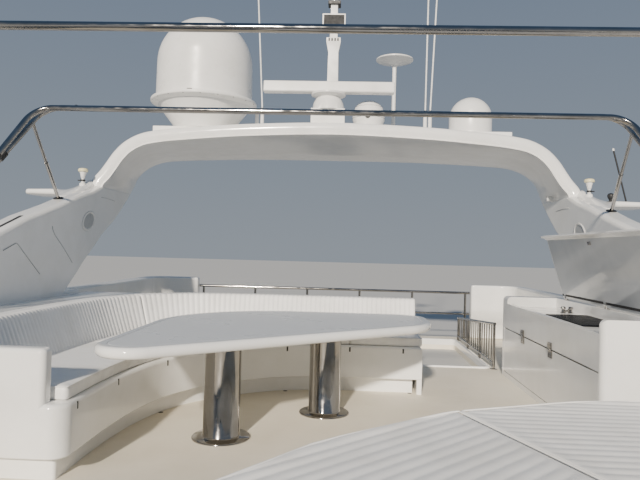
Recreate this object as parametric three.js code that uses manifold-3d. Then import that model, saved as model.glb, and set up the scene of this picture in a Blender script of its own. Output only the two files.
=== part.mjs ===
// The flybridge of a motor yacht: the open upper deck with its coamings, radar arch, aerials,
// awning bows, settee, table, sunpad, wet bar, stair opening and helm station.
// Millimetres, +Z up, +Y aft, +X to port. Places are given from the deck's datum point: X 0 on the
// centre line, Y 0 near the middle of the open deck, Z 0 on the sole. The last lines move the
// whole part so that its origin is at the middle of its underside.

import * as THREE from 'three';
import { mergeVertices } from 'three/addons/utils/BufferGeometryUtils.js';
import Module from 'manifold-3d';

const wasm = await Module();
wasm.setup();

// Driving dimensions
const gap = 0.3; // between pieces that touch

const deck = { halfWidth: 2620, straightFrom: -700, nose: -2950, aft: 8560, cornerR: 350, thick: 120 };
const stair = { inboard: 950, outboard: 1640, from: 6290, to: 8180, cornerR: 60 };
const coamingInner = 2350; // the foot of the side coamings' inner faces
const seam = { z: 1760, aft: 6920 }; // where the arch is bolted to the coamings
const archThick = 150;
const settee = {
  from: 2870, armTo: 2965, to: 5780, end: 805, baseZ: 385, seatZ: 455, armZ: 655, shelfZ: 705, backZ: 742 };
const setteeBack = { lean: 130, thick: 120 };
const toe = { high: 120, recess: 70 }; // the set-back foot of the settee's base
const table = { top: 660, thick: 60, legD: 225, footD: 360, footH: 14 };
const sunpad = { baseZ: 360, top: 500, forward: 500, aft: 2906 };
const bar = {
  face: 1710, from: 3720, to: 6000, counter: 680, rim: 700, endTop: 790, aftTop: 765, back: 2170, seamZ: 466,
  endWall: 45, aftEnd: 5850, cornerR: 40 };
const lid = { hingeX: 2200, hingeZ: 783, from: 3790, to: 5725, lean: 17 };
const awning = { tube: 40, hingeZ: 915 };
const platformTop = 2462; // under both domes
const satcom = { x: -1480, y: 6750, flangeD: 1175, shellD: 1070, flangeZ: 2780, top: 3730 };
const radar = { x: -66, y: 6380, length: 1380, z: 2825, height: 122, depth: 110 };
const helm = { x: -1050, wheelD: 420, wheelTilt: 25 };

// Finishes
const finish = (color, roughness, metalness = 0, opacity = 1) =>
  new THREE.MeshStandardMaterial({ color, roughness, metalness, opacity, transparent: opacity < 1 });
const gelcoat = finish(0xf1f2f0, 0.25);
const soleCoat = finish(0xe9e4d8, 0.75);
const vinyl = finish(0xf0f0ee, 0.55);
const tableCoat = finish(0xf3f3f1, 0.2);
const stainless = finish(0xc9ccce, 0.18, 1);
const radome = finish(0xeeefee, 0.35);
const whipWhite = finish(0xe8e9e8, 0.45);
const darkGlass = finish(0x14161a, 0.12);
const blackPlastic = finish(0x1b1c1e, 0.5);
const greyMould = finish(0xc7c9c8, 0.3);
const smoked = finish(0x3a3f45, 0.1, 0, 0.45);

const boat = new THREE.Group();

function add(name, geometry, material, parent = boat) {
  const mesh = new THREE.Mesh(geometry, material);
  mesh.name = name;
  parent.add(mesh);
  return mesh;
}

// Joins and cuts
function toSolid(geometry) {
  const bare = geometry.index ? geometry.toNonIndexed() : geometry.clone();
  bare.deleteAttribute('normal');
  bare.deleteAttribute('uv');
  const merged = mergeVertices(bare, 1e-3);
  return new wasm.Manifold(new wasm.Mesh({
    numProp: 3,
    vertProperties: merged.attributes.position.array,
    triVerts: new Uint32Array(merged.index.array),
  }));
}

function toGeometry(body) {
  const mesh = body.getMesh();
  const corners = new Float32Array(mesh.numVert * 3);
  for (let i = 0; i < mesh.numVert; i++) {
    for (let k = 0; k < 3; k++) corners[3 * i + k] = mesh.vertProperties[mesh.numProp * i + k];
  }
  const geometry = new THREE.BufferGeometry();
  geometry.setAttribute('position', new THREE.BufferAttribute(corners, 3));
  geometry.setIndex(new THREE.BufferAttribute(new Uint32Array(mesh.triVerts), 1));
  geometry.computeVertexNormals();
  return geometry;
}

const join = (...pieces) => toGeometry(pieces.map(toSolid).reduce((whole, next) => whole.add(next)));
const cut = (body, ...tools) =>
  toGeometry(tools.map(toSolid).reduce((whole, next) => whole.subtract(next), toSolid(body)));
const common = (body, other) => toGeometry(toSolid(body).intersect(toSolid(other)));

// A box from its lowest to its highest corner
function block(x0, y0, z0, x1, y1, z1) {
  return new THREE.BoxGeometry(x1 - x0, y1 - y0, z1 - z0)
    .translate((x0 + x1) / 2, (y0 + y1) / 2, (z0 + z1) / 2);
}

// A plan outline, raised from z0 to z1
function slab(outline, z0, z1, steps = 6) {
  return new THREE.ExtrudeGeometry(outline, { depth: z1 - z0, bevelEnabled: false, curveSegments: steps })
    .translate(0, 0, z0);
}

// A side-view outline of y and z, spread from x0 to x1
function sideSlab(points, x0, x1) {
  const outline = new THREE.Shape(points.map(([y, z]) => new THREE.Vector2(y, z)));
  const turn = new THREE.Matrix4().makeBasis(
    new THREE.Vector3(0, 1, 0), new THREE.Vector3(0, 0, 1), new THREE.Vector3(1, 0, 0));
  return new THREE.ExtrudeGeometry(outline, { depth: x1 - x0, bevelEnabled: false })
    .applyMatrix4(turn).translate(x0, 0, 0);
}

// A turned body about a vertical axis, from a profile of radius and z that starts and ends on the axis
function turned(profile, x, y, sides = 24) {
  return new THREE.LatheGeometry(profile.map(([r, z]) => new THREE.Vector2(r, z)), sides)
    .rotateX(Math.PI / 2).translate(x, y, 0);
}

// An outline with its corners rounded, each corner as [x, y, radius]
function rounded(corners, Maker = THREE.Shape) {
  const outline = new Maker();
  corners.forEach(([x, y, r], i) => {
    const at = new THREE.Vector2(x, y);
    const before = new THREE.Vector2(...corners.at(i - 1).slice(0, 2)).sub(at).normalize();
    const after = new THREE.Vector2(...corners[(i + 1) % corners.length].slice(0, 2)).sub(at).normalize();
    const half = before.angleTo(after) / 2;
    const reach = r / Math.tan(half);
    const centre = at.clone().add(before.clone().add(after).normalize().multiplyScalar(r / Math.sin(half)));
    const from = at.clone().addScaledVector(before, reach).sub(centre);
    const to = at.clone().addScaledVector(after, reach).sub(centre);
    if (i === 0 && r === 0) outline.moveTo(x, y);
    if (r > 0) outline.absarc(centre.x, centre.y, r, from.angle(), to.angle(), from.cross(to) < 0);
    else outline.lineTo(x, y);
  });
  return outline;
}

// A tube along straight runs with bent corners, each corner as [x, y, z, radius]
function tube(corners, diameter, sides = 8, perBend = 4) {
  const at = corners.map(([x, y, z]) => new THREE.Vector3(x, y, z));
  const stops = [at[0]];
  for (let i = 1; i < at.length - 1; i++) {
    const before = at[i - 1].clone().sub(at[i]).normalize();
    const after = at[i + 1].clone().sub(at[i]).normalize();
    const half = before.angleTo(after) / 2;
    const r = corners[i][3] ?? 100;
    const reach = r / Math.tan(half);
    const centre = at[i].clone().add(before.clone().add(after).normalize().multiplyScalar(r / Math.sin(half)));
    for (let k = 0; k <= perBend; k++) {
      const sweep = (Math.PI - 2 * half) * (k / perBend - 0.5);
      const out = at[i].clone().sub(centre).normalize();
      const along = after.clone().sub(before).normalize();
      stops.push(centre.clone()
        .addScaledVector(out, r * Math.cos(sweep)).addScaledVector(along, r * Math.sin(sweep)));
    }
  }
  stops.push(at.at(-1));
  return sweepRing(stops, diameter / 2, sides);
}

// A closed body through rings of equally many points, with flat ends
function loft(rings) {
  const count = rings[0].length;
  const index = [];
  rings.slice(1).forEach((ring, r) => {
    for (let i = 0; i < count; i++) {
      const [a, b] = [r * count + i, r * count + (i + 1) % count];
      index.push(a, b, a + count, b, b + count, a + count);
    }
  });
  const capOf = (ring, offset, reverse) => {
    const centre = ring.reduce((sum, p) => sum.add(p), new THREE.Vector3()).divideScalar(count);
    const normal = new THREE.Vector3();
    ring.forEach((p, i) => normal.add(p.clone().sub(centre).cross(ring[(i + 1) % count].clone().sub(centre))));
    const turn = new THREE.Quaternion().setFromUnitVectors(normal.normalize(), new THREE.Vector3(0, 0, 1));
    const flat = ring.map((p) => p.clone().applyQuaternion(turn)).map((p) => new THREE.Vector2(p.x, p.y));
    for (const [a, b, c] of THREE.ShapeUtils.triangulateShape(flat, [])) {
      index.push(offset + a, offset + (reverse ? c : b), offset + (reverse ? b : c));
    }
  };
  capOf(rings[0], 0, true);
  capOf(rings.at(-1), (rings.length - 1) * count, false);
  const body = new THREE.BufferGeometry().setFromPoints(rings.flat());
  body.setIndex(index);
  return facingOut(body);
}

// Turns every face round where the body is inside out
function facingOut(body) {
  const at = body.attributes.position;
  const corner = [0, 1, 2].map(() => new THREE.Vector3());
  let volume = 0;
  for (let i = 0; i < body.index.count; i += 3) {
    corner.forEach((p, k) => p.fromBufferAttribute(at, body.index.getX(i + k)));
    volume += corner[0].dot(corner[1].cross(corner[2]));
  }
  if (volume < 0) {
    for (let i = 0; i < body.index.count; i += 3) {
      const [b, c] = [body.index.getX(i + 1), body.index.getX(i + 2)];
      body.index.setX(i + 1, c);
      body.index.setX(i + 2, b);
    }
  }
  body.computeVertexNormals();
  return body;
}

// Round rings at each stop of a route, carried along without twist
function sweepRing(stops, radius, sides) {
  const rings = [];
  let up = new THREE.Vector3(0.31, 0.17, 0.93);
  stops.forEach((stop, i) => {
    const ahead = (stops[i + 1] ?? stop).clone().sub(stops[i - 1] ?? stop).normalize();
    const side = up.clone().cross(ahead).normalize();
    up = ahead.clone().cross(side).normalize();
    rings.push(Array.from({ length: sides }, (_, k) => {
      const turn = 2 * Math.PI * k / sides;
      return stop.clone()
        .addScaledVector(side, radius * Math.cos(turn)).addScaledVector(up, radius * Math.sin(turn));
    }));
  });
  return loft(rings);
}

const rod = (x0, y0, z0, x1, y1, z1, d, sides = 8) =>
  sweepRing([new THREE.Vector3(x0, y0, z0), new THREE.Vector3(x1, y1, z1)], d / 2, sides);

const sides = [['starboard', -1], ['port', 1]];

// Sole: one moulded slab with a rounded nose and the stair opening
const edge = deck.halfWidth;
function deckOutline(inset = 0) {
  const outline = new THREE.Shape();
  const half = edge - inset;
  const end = deck.aft - inset;
  outline.moveTo(half, deck.straightFrom);
  outline.lineTo(half, end - deck.cornerR);
  outline.absarc(half - deck.cornerR, end - deck.cornerR, deck.cornerR, 0, Math.PI / 2);
  outline.absarc(-half + deck.cornerR, end - deck.cornerR, deck.cornerR, Math.PI / 2, Math.PI);
  outline.lineTo(-half, deck.straightFrom);
  outline.absellipse(0, deck.straightFrom, half, deck.straightFrom - deck.nose - inset, Math.PI, 2 * Math.PI);
  return outline;
}
const soleOutline = deckOutline();
soleOutline.holes.push(rounded([
  [stair.inboard, stair.from, stair.cornerR], [stair.inboard, stair.to, stair.cornerR],
  [stair.outboard, stair.to, stair.cornerR], [stair.outboard, stair.from, stair.cornerR]], THREE.Path));
add('deck_sole', slab(soleOutline, -deck.thick, -gap, 16), soleCoat);

// Forward coaming: a low wall that follows the nose, its top edges rounded
const noseRise = 130; // how much higher the coaming is at the nose than at the sides
function noseStation(turn, inset, z) {
  const a = Math.PI + turn;
  return new THREE.Vector3(
    (edge - inset) * Math.cos(a), deck.straightFrom + (deck.straightFrom - deck.nose - inset) * Math.sin(a), z);
}
function noseWall(steps, profile, low = 0, high = Math.PI) {
  return loft(Array.from({ length: steps + 1 }, (_, i) => {
    const turn = low + (high - low) * i / steps;
    return profile(Math.sin(turn)).map(([inset, z]) => noseStation(turn, inset, z));
  }));
}
const sideTopAtNose = 870;
const noseCoaming = noseWall(20, (rise) => {
  const top = sideTopAtNose + noseRise * rise;
  return [[0, 0], [12, top - 230], [60, top - 25], [95, top], [205, top], [240, top - 25], [270, 0]];
});
add('coaming_forward', noseCoaming, gelcoat);

// Side coamings: sections across the wall at stations along the deck, cut to the raked leg's outline
// columns: y, top z, outer x at the top, inner x at the top
const coamingStations = [
  [deck.straightFrom + gap, sideTopAtNose, 2560, 2380],
  [1200, 830, 2565, 2375],
  [2900, 835, 2565, 2365],
  [3400, 862, 2565, 2360],
  [3800, 1040, 2562, 2356],
  [4300, 1245, 2560, 2352],
  [4700, 1378, 2558, 2350],
  [5200, 1508, 2556, 2350],
  [5600, 1628, 2553, 2350],
  [5900, 1700, 2550, 2350],
  [6250, seam.z + 60, 2548, 2351],
  [seam.aft + 100, seam.z + 60, 2548, 2345],
];
const bulwark = { from: 5650, top: 735, thick: 150 };
const legOutline = [
  [deck.straightFrom, 0], [bulwark.from, 0], [bulwark.from, bulwark.top], [5340, bulwark.top], [5480, 830],
  [5590, 905], [5690, 980], [5810, 1055], [5945, 1140], [6110, 1250], [6260, 1330], [6430, 1415], [6620, 1540],
  [6715, 1610], [6830, 1690], [seam.aft, seam.z - gap], [3000, seam.z - gap], [deck.straightFrom, 1200]];
function coamingWall() {
  return loft(coamingStations.map(([y, top, outer, inner]) => [
    [edge, 0], [edge - 12, top - 230], [outer + 8, top - 32], [outer - 30, top], [inner + 30, top],
    [inner, top - 28], [coamingInner, 0]].map(([x, z]) => new THREE.Vector3(x, y, z))));
}
const coamingSide = () => common(coamingWall(), sideSlab(legOutline, 0, edge + 100));
for (const [side, sign] of sides) {
  add(`coaming_${side}`, coamingSide(), gelcoat).scale.x = sign;
}
// Trims a piece to the plane of the coaming's inner face, also aft of the leg
const walls = { port: coamingWall(), starboard: facingOut(coamingWall().scale(-1, 1, 1)) };
const fitPort = (piece) => cut(piece, walls.port).translate(-gap, 0, 0);
const fitStarboard = (piece) => cut(piece, walls.starboard).translate(gap, 0, 0);

// Aft bulwarks: low walls behind the arch legs, joined round the stern corners
function bulwarkSide() {
  const half = edge;
  const outline = new THREE.Shape();
  const corner = deck.cornerR;
  const inner = corner - bulwark.thick;
  outline.moveTo(half, bulwark.from + gap);
  outline.lineTo(half, deck.aft - corner);
  outline.absarc(half - corner, deck.aft - corner, corner, 0, Math.PI / 2);
  outline.lineTo(1900, deck.aft);
  outline.lineTo(1900, deck.aft - bulwark.thick);
  outline.absarc(half - corner, deck.aft - corner, inner, Math.PI / 2, 0, true);
  outline.lineTo(half - bulwark.thick, bulwark.from + gap);
  return slab(outline, 0, bulwark.top);
}
for (const [side, sign] of sides) {
  add(`bulwark_${side}`, bulwarkSide(), gelcoat).scale.x = sign;
}

// Stern rail: a stainless hoop with stanchions between the bulwarks
const sternRail = { y: deck.aft - 75, high: 620, low: 330, reach: 1890, posts: 1830 };
add('stern_rail', join(
  rod(-sternRail.reach, sternRail.y, sternRail.high, sternRail.reach, sternRail.y, sternRail.high, 34),
  rod(-sternRail.reach, sternRail.y, sternRail.low, sternRail.reach, sternRail.y, sternRail.low, 26),
  ...[-1, -0.6, -0.2, 0.2, 0.6, 1].map((part) => {
    const x = part * sternRail.posts;
    return rod(x, sternRail.y, gap, x, sternRail.y, sternRail.high + 2, 32);
  }),
), stainless);

// Radar arch: a plank swept up one leg, over the deck and down the other
// columns: front edge's x and z, aft edge's x and z, front edge's y, aft edge's y
const archStations = [
  [2356, 1690, 2345, 1690, 6080, 6835],
  [2350, 1775, 2345, 1775, 6110, 6940],
  [2290, 1850, 2355, 1850, 6130, 7060],
  [2225, 1950, 2355, 1950, 6145, 7175],
  [2165, 2040, 2315, 2045, 6150, 7260],
  [2080, 2125, 2215, 2130, 6150, 7315],
  [1960, 2190, 2070, 2180, 6150, 7335],
  [1800, 2225, 1860, 2200, 6150, 7335],
  [1540, 2255, 1560, 2215, 6150, 7335],
  [900, 2305, 900, 2235, 6150, 7330],
  [0, 2335, 0, 2240, 6150, 7330],
];
// columns: distance aft of the front edge, or ahead of the aft edge where negative, and height
const archSection = [
  [75, 0], [18, 26], [0, 78], [20, 132], [85, archThick], [420, archThick + 40], [-300, archThick + 40],
  [-60, 120], [-2, 64], [-34, 6]];
function archRing([frontX, frontZ, aftX, aftZ, frontY, aftY], [outX, outZ]) {
  return archSection.map(([step, height]) => {
    const y = (step < 0 ? aftY : frontY) + step;
    const part = (y - frontY) / (aftY - frontY);
    return new THREE.Vector3(
      frontX + part * (aftX - frontX) + outX * height, y, frontZ + part * (aftZ - frontZ) + outZ * height);
  });
}
const archHalf = archStations.map((row, i) => {
  const low = archStations[Math.max(0, i - 1)];
  const high = archStations[i + 1];
  const along = high && new THREE.Vector2(low[0] - high[0], high[1] - low[1]).normalize();
  return archRing(row, high ? [along.y, along.x] : [0, 1]);
});
const archOver = archHalf.slice(0, -1).reverse()
  .map((ring) => ring.map((p) => new THREE.Vector3(-p.x, p.y, p.z)));
const archWhole = loft([...archHalf, ...archOver]);
add('radar_arch', cut(archWhole, block(-3000, 5000, 1000, 3000, 8000, seam.z)), gelcoat);

// Seats a piece on the body below it
const seatOn = (piece, ...below) => cut(piece, ...below).translate(0, 0, gap);

// Wings: short planks outboard of the arch legs, each with a positioning aerial at its root
const wing = { low: 1632, high: 1702, root: 2450, tip: 3060 };
const wingOutline = rounded([
  [wing.root, 5760, 0], [wing.tip - 60, 5800, 70], [wing.tip, 5960, 90], [wing.tip - 20, 6180, 90],
  [wing.root, 6640, 0]]);
// The fairing that carries the wing in over the coaming's top and up to the arch
// columns: x, front edge's y, its foot's and top's z, then the top's z at the aerial and beside the arch
const fairingRings = [
  [2440, 5612, 1590, 1636, 1740, 1784], [2470, 5550, 1580, 1622, 1758, 1815],
  [2500, 5485, 1570, 1606, 1766, 1830], [2560, 5560, 1560, 1628, 1745, 1790],
  [2680, 5790, wing.low + 10, wing.high - 1, wing.high - 1, wing.high - 1]];
const wingFairing = loft(fairingRings.map(([x, front, foot, lip, middle, top]) =>
  [[front, foot], [front, lip], [5985, middle], [6110, top], [6450, top], [6600, wing.low + 10]].map(
    ([y, z]) => new THREE.Vector3(x, y, z))));
const mushroomAt = { x: 2509, y: 5985, z: 1764 };
const mushroom = turned([
  [0, -30], [32, -30], [32, 8], [16, 14], [14, 84], [38, 98], [47, 114], [47, 134], [34, 154], [0, 164]],
mushroomAt.x, mushroomAt.y, 16).translate(0, 0, mushroomAt.z);
// Both wings are made as the port one, so the starboard one is cut with the arch seen from the other side
const archBeside = { port: archWhole, starboard: facingOut(archWhole.clone().scale(-1, 1, 1)) };
const withInboardCopy = (body) => [body, body.clone().translate(-2 * gap, 0, 0)];
for (const [side, sign] of sides) {
  const plank = cut(join(slab(wingOutline, wing.low, wing.high, 5), wingFairing, mushroom),
    ...withInboardCopy(coamingSide()), ...withInboardCopy(archBeside[side]));
  add(`wing_${side}`, plank.translate(gap, -gap, gap), gelcoat).scale.x = sign;
}
const horn = { y: 6000, bellX: 2723, footX: 2872, tipX: 2736, tipZ: 525 };
add('signal_horn', join(
  turned([[0, 0], [16, 0], [16, 26], [26, 40], [33, 62], [26, 84], [0, 92]], horn.bellX, horn.y, 14),
  rod(horn.footX, horn.y, 4, horn.tipX, horn.y, horn.tipZ, 16, 6),
  block(2680, horn.y - 35, 0, 2900, horn.y + 35, 8)).translate(0, 0, wing.high + gap), blackPlastic);

// Settee: the base's front line and the foot of the back cushions, round the corner
// columns: front x, front y, foot x, foot y
const setteeStations = [
  [-1180, settee.armTo + gap, -1682, settee.armTo + gap],
  [-1180, 3400, -1682, 3400],
  [-1150, 3800, -1685, 3900],
  [-1075, 4140, -1670, 4400],
  [-950, 4410, -1620, 4780],
  [-780, 4620, -1490, 5090],
  [-560, 4800, -1270, 5300],
  [-300, 4940, -940, 5425],
  [-40, 4998, -420, 5465],
  [210, 5010, 210, 5470],
  [settee.end, 5008, settee.end, 5465],
];
const seatFront = setteeStations.map(([x, y]) => new THREE.Vector2(x, y));
const seatBack = setteeStations.map(([, , x, y]) => new THREE.Vector2(x, y));
// Moves a line sideways, to the right of its direction where the distance is positive
function beside(line, distance) {
  return line.map((p, i) => {
    const along = (line[i + 1] ?? p).clone().sub(line[i - 1] ?? p).normalize();
    return p.clone().add(new THREE.Vector2(along.y, -along.x).multiplyScalar(distance));
  });
}
const ribbon = (one, other) => new THREE.Shape([...one, ...other.slice().reverse()]);
// A stretch of a line, drawn in by half a seam at both ends
const seamGap = 4;
function stretch(line, from, to) {
  const run = line.slice(from, to + 1).map((p) => p.clone());
  run[0].add(run[1].clone().sub(run[0]).setLength(from ? seamGap / 2 : gap));
  run.at(-1).add(run.at(-2).clone().sub(run.at(-1)).setLength(seamGap / 2));
  return run;
}
const wallInner = -coamingInner - 30;
const at = (...points) => points.map(([x, y]) => new THREE.Vector2(x, y));
const setteePlan = (front, from) => new THREE.Shape([
  ...at([wallInner, from], [front[0].x - 25, from], [front[0].x, from + 25]), ...front,
  ...at([settee.end, settee.to], [wallInner, settee.to])]);
const shelfLine = beside(seatBack, -setteeBack.lean - setteeBack.thick - 3 * gap);
add('settee_base', fitStarboard(join(
  slab(setteePlan(beside(seatFront, -toe.recess), settee.from + toe.recess), 0, toe.high + 1),
  slab(setteePlan(seatFront, settee.from), toe.high, settee.baseZ),
  slab(new THREE.Shape([
    ...at([wallInner, shelfLine[0].y]), ...shelfLine, ...at([settee.end, settee.to], [wallInner, settee.to])]),
  settee.baseZ - 1, settee.shelfZ))), gelcoat);
const armInboard = -1285;
add('settee_arm', fitStarboard(slab(rounded([
  [wallInner, settee.from, 0], [armInboard, settee.from, 30],
  [armInboard, settee.armTo, 30], [wallInner, settee.armTo, 0]]),
settee.baseZ + gap, settee.armZ)), gelcoat);
const setback = 35; // of the seat cushions from the base's edge
for (const [run, from, to] of [['side', 0, 3], ['corner', 3, 6], ['middle', 6, 9], ['aft', 9, 10]]) {
  const outline = ribbon(
    stretch(beside(seatFront, -setback), from, to), stretch(beside(seatBack, gap), from, to));
  add(`seat_cushion_${run}`, slab(outline, settee.baseZ + gap, settee.seatZ), vinyl);
}
// Back cushions: wedges that lean outboard
for (const [run, from, to] of [['side', 0, 5], ['aft', 5, 10]]) {
  const behind = -setteeBack.lean - setteeBack.thick;
  const lines = [
    [0, settee.baseZ + gap], [-setteeBack.lean, settee.backZ], [behind, settee.backZ],
    [behind, settee.baseZ + gap]].map(([distance, z]) =>
    stretch(beside(seatBack, distance), from, to).map((p) => new THREE.Vector3(p.x, p.y, z)));
  add(`back_cushion_${run}`, loft(lines[0].map((_, i) => lines.map((line) => line[i]))), vinyl);
}

// Table on two stainless pedestals
const tableCorners = [[-1135, 2700, 200], [800, 4320, 500], [800, 5010, 260], [-1140, 5000, 930]];
const inward = (corners, d) => {
  const middle = corners.reduce((sum, [x, y]) => sum.add(new THREE.Vector2(x, y)), new THREE.Vector2())
    .divideScalar(corners.length);
  return corners.map(([x, y, r]) => {
    const p = new THREE.Vector2(x, y).sub(middle);
    return [...p.multiplyScalar(1 - d / p.length()).add(middle).toArray(), r];
  });
};
const tableLow = table.top - table.thick;
add('table_top', join(
  slab(rounded(tableCorners), tableLow + 14, table.top, 8),
  slab(rounded(inward(tableCorners, 40)), tableLow, tableLow + 15, 8)), tableCoat);
const pedestals = [['forward', -584, 3717], ['aft', 28, 4365]];
for (const [which, x, y] of pedestals) {
  add(`table_leg_${which}`, turned([
    [0, gap], [table.footD / 2, gap], [table.footD / 2, table.footH - 5], [table.footD / 2 - 9, table.footH],
    [table.legD / 2, table.footH], [table.legD / 2, tableLow - 14], [150, tableLow - 12], [150, tableLow - gap],
    [0, tableLow - gap]], x, y, 32), stainless);
}

// Sunpad: a low plinth with two cushions that meet on a slanting seam
const padWall = coamingInner + 30;
const padCorners = [
  [padWall, sunpad.forward, 0], [-560, sunpad.forward, 120], [-600, 1180, 260], [79, 2139, 60],
  [612, 2598, 420], [1231, 2859, 700], [1560, sunpad.aft, 0], [padWall, sunpad.aft, 0]];
const padSeam = [[622, 2700], [1514, sunpad.forward - 60]];
add('sunpad_base', fitPort(join(
  slab(rounded(inward(padCorners, 70)), 0, 80),
  slab(rounded(inward(padCorners, 12)), 79, sunpad.baseZ))), gelcoat);
const padWhole = slab(rounded(padCorners), sunpad.baseZ + gap, sunpad.top);
const padHalf = (sign, low) => {
  const far = sign * 4000;
  const [[x0, y0], [x1, y1]] = padSeam;
  const [aft, ahead] = [y0 + 300, y1 - 300];
  return slab(new THREE.Shape(at([x0 + low, aft], [x1 + low, ahead], [far, ahead], [far, aft])), 0, 900);
};
add('sunpad_cushion_starboard', common(padWhole, padHalf(-1, -gap)), vinyl);
add('sunpad_cushion_port', fitPort(common(padWhole, padHalf(1, 2 * gap))), vinyl);

// Wet bar: a hollow locker with a sunk counter between raised ends, a door hinged at its top and a lid
// propped up along the back
const barWall = coamingInner + 30;
const door = { from: 3770, to: 5935, low: 52, thick: 20, clear: 6 };
const locker = { from: 3925, to: 5635, low: 60, high: 600 };
const doorPin = { x: bar.face - 8, z: bar.seamZ - 4, d: 13, half: 42, at: [4627, 5330] };
const doorLug = doorPin.z + doorPin.d / 2 + 0.4;
const lugs = { at: [3960, 4810, 5660], half: 20 };
// Takes the inboard corner off one end of the bar, and off its near edge from the sole up
const barCorner = bar.face + bar.cornerR;
const endCorner = (y0, y1, top) => cut(
  block(bar.face - 1, y0 - 1, top - bar.cornerR, barCorner, y1 + 1, top + 1),
  rod(barCorner, y0 - 2, top - bar.cornerR, barCorner, y1 + 2, top - bar.cornerR, 2 * bar.cornerR, 40));
const nearCorner = cut(
  block(bar.face - 1, bar.from - 1, -1, barCorner, bar.from + bar.cornerR, bar.endTop + 1),
  rod(barCorner, bar.from + bar.cornerR, -2, barCorner, bar.from + bar.cornerR, bar.endTop + 2,
    2 * bar.cornerR, 40));
const barBody = join(
  block(bar.face, bar.from, 0, barWall, bar.to, bar.counter),
  block(bar.face, bar.from, 0, bar.face + 45, bar.to, bar.rim),
  block(bar.face, bar.from, 0, barWall, bar.from + bar.endWall, bar.endTop),
  block(bar.face, bar.aftEnd, 0, barWall, bar.to, bar.aftTop),
  block(bar.back, bar.from, 0, barWall, bar.to, bar.aftTop),
  ...lugs.at.map((y) =>
    block(lid.hingeX - 14, y - lugs.half, bar.aftTop - 5, lid.hingeX + 14, y + lugs.half, lid.hingeZ + 12)),
  ...doorPin.at.map((y) => block(bar.face - 14, y - 30, doorLug, bar.face + 4, y + 30, bar.seamZ + 52)));
add('bar_cabinet', fitPort(cut(barBody, nearCorner,
  endCorner(bar.from, bar.from + bar.endWall, bar.endTop), endCorner(bar.aftEnd, bar.to, bar.aftTop),
  block(bar.face - 40, door.from - door.clear, door.low - door.clear, bar.face + door.thick + door.clear,
    door.to + door.clear, bar.seamZ + 2),
  block(bar.face + door.thick, locker.from, locker.low, bar.back - 40, locker.to, locker.high))), gelcoat);
add('bar_door', join(
  block(bar.face, door.from, door.low, bar.face + door.thick, door.to, doorPin.z - 6),
  ...doorPin.at.flatMap((y) => [
    block(bar.face - 5, y - doorPin.half, doorPin.z - 60, bar.face + 2, y + doorPin.half, doorPin.z - 3),
    rod(doorPin.x, y - doorPin.half, doorPin.z, doorPin.x, y + doorPin.half, doorPin.z, doorPin.d, 12),
  ])), gelcoat);
add('hob', block(1800, 4300, bar.counter + gap, 2135, 5030, bar.counter + 12), darkGlass);
// columns: x and z of the upright lid's section, a plate with a lip flared inboard along its free edge
const lidSection = [[11, -8], [11, 562], [-52, 610], [-62, 598], [-11, 558], [-11, -8]];
const lidFlat = cut(
  loft([lid.from, lid.to].map((y) => lidSection.map(([x, z]) => new THREE.Vector3(x, y, z)))),
  ...lugs.at.map((y) => block(-60, y - lugs.half - 0.5, -60, 60, y + lugs.half + 0.5, 30)));
lidFlat.rotateY(-THREE.MathUtils.degToRad(lid.lean)).translate(lid.hingeX, 0, lid.hingeZ);
add('bar_lid', lidFlat, greyMould);

// Stair rail: close upright bars along the outboard side of the stair opening
const rail = { x: 1690, from: 6250, to: 8190, high: 460, low: 300, bars: 18 };
const railTop = (y) => rail.high + (rail.low - rail.high) * (y - rail.from) / (rail.to - rail.from);
add('stair_rail', join(
  rod(rail.x, rail.from - 16, railTop(rail.from), rail.x, rail.to + 16, railTop(rail.to), 32),
  rod(rail.x, rail.from, 60, rail.x, rail.to, 60, 22),
  ...Array.from({ length: rail.bars + 1 }, (_, i) => {
    const y = rail.from + (rail.to - rail.from) * i / rail.bars;
    return rod(rail.x, y, i % 6 ? 60 : gap, rail.x, y, railTop(y), i % 6 ? 14 : 26, 6);
  })), stainless);

// Windscreen: a low smoked band on the forward coaming, with a rail along its top
const screen = { base: 118, thick: 10, rake: 190, height: 320, from: 0.42 };
const screenTop = (rise) => sideTopAtNose + noseRise * rise + gap;
add('windscreen', noseWall(24, (rise) => {
  const z = screenTop(rise);
  return [[screen.base, z], [screen.base + screen.rake, z + screen.height],
    [screen.base + screen.rake + screen.thick, z + screen.height], [screen.base + screen.thick, z]];
}, screen.from, Math.PI - screen.from), smoked);
add('windscreen_rail', sweepRing(Array.from({ length: 25 }, (_, i) => {
  const turn = screen.from + (Math.PI - 2 * screen.from) * i / 24;
  return noseStation(turn, screen.base + screen.rake + 5, screenTop(Math.sin(turn)) + screen.height + 13.2);
}), 13, 12), stainless);

// Helm console, against the forward coaming
const insideNose = slab(deckOutline(150), 0, 2000, 16);
const fitNose = (piece, side) => cut(common(piece, insideNose), noseCoaming).translate(-side * gap, gap, 0);
const consoleSide = [
  [-1500, 0], [-1500, 110], [-1440, 150], [-1440, 740], [-1560, 880], [-1780, 930], [-2800, 880], [-2800, 0]];
const wheelLean = THREE.MathUtils.degToRad(helm.wheelTilt);
const wheelAxis = new THREE.Vector3(0, Math.cos(wheelLean), Math.sin(wheelLean));
const wheelCentre = new THREE.Vector3(helm.x, -1310, 800);
const wheelR = helm.wheelD / 2;
const shaft = 104; // from the wheel's plane to the console's boss
const bossEnd = wheelCentre.clone().addScaledVector(wheelAxis, -shaft - 0.5);
const bossRoot = wheelCentre.clone().addScaledVector(wheelAxis, -shaft - 120);
add('helm_console', join(
  fitNose(sideSlab(consoleSide, -1660, -430), -1),
  sweepRing([bossRoot, bossEnd], 48, 16)), gelcoat);
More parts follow.
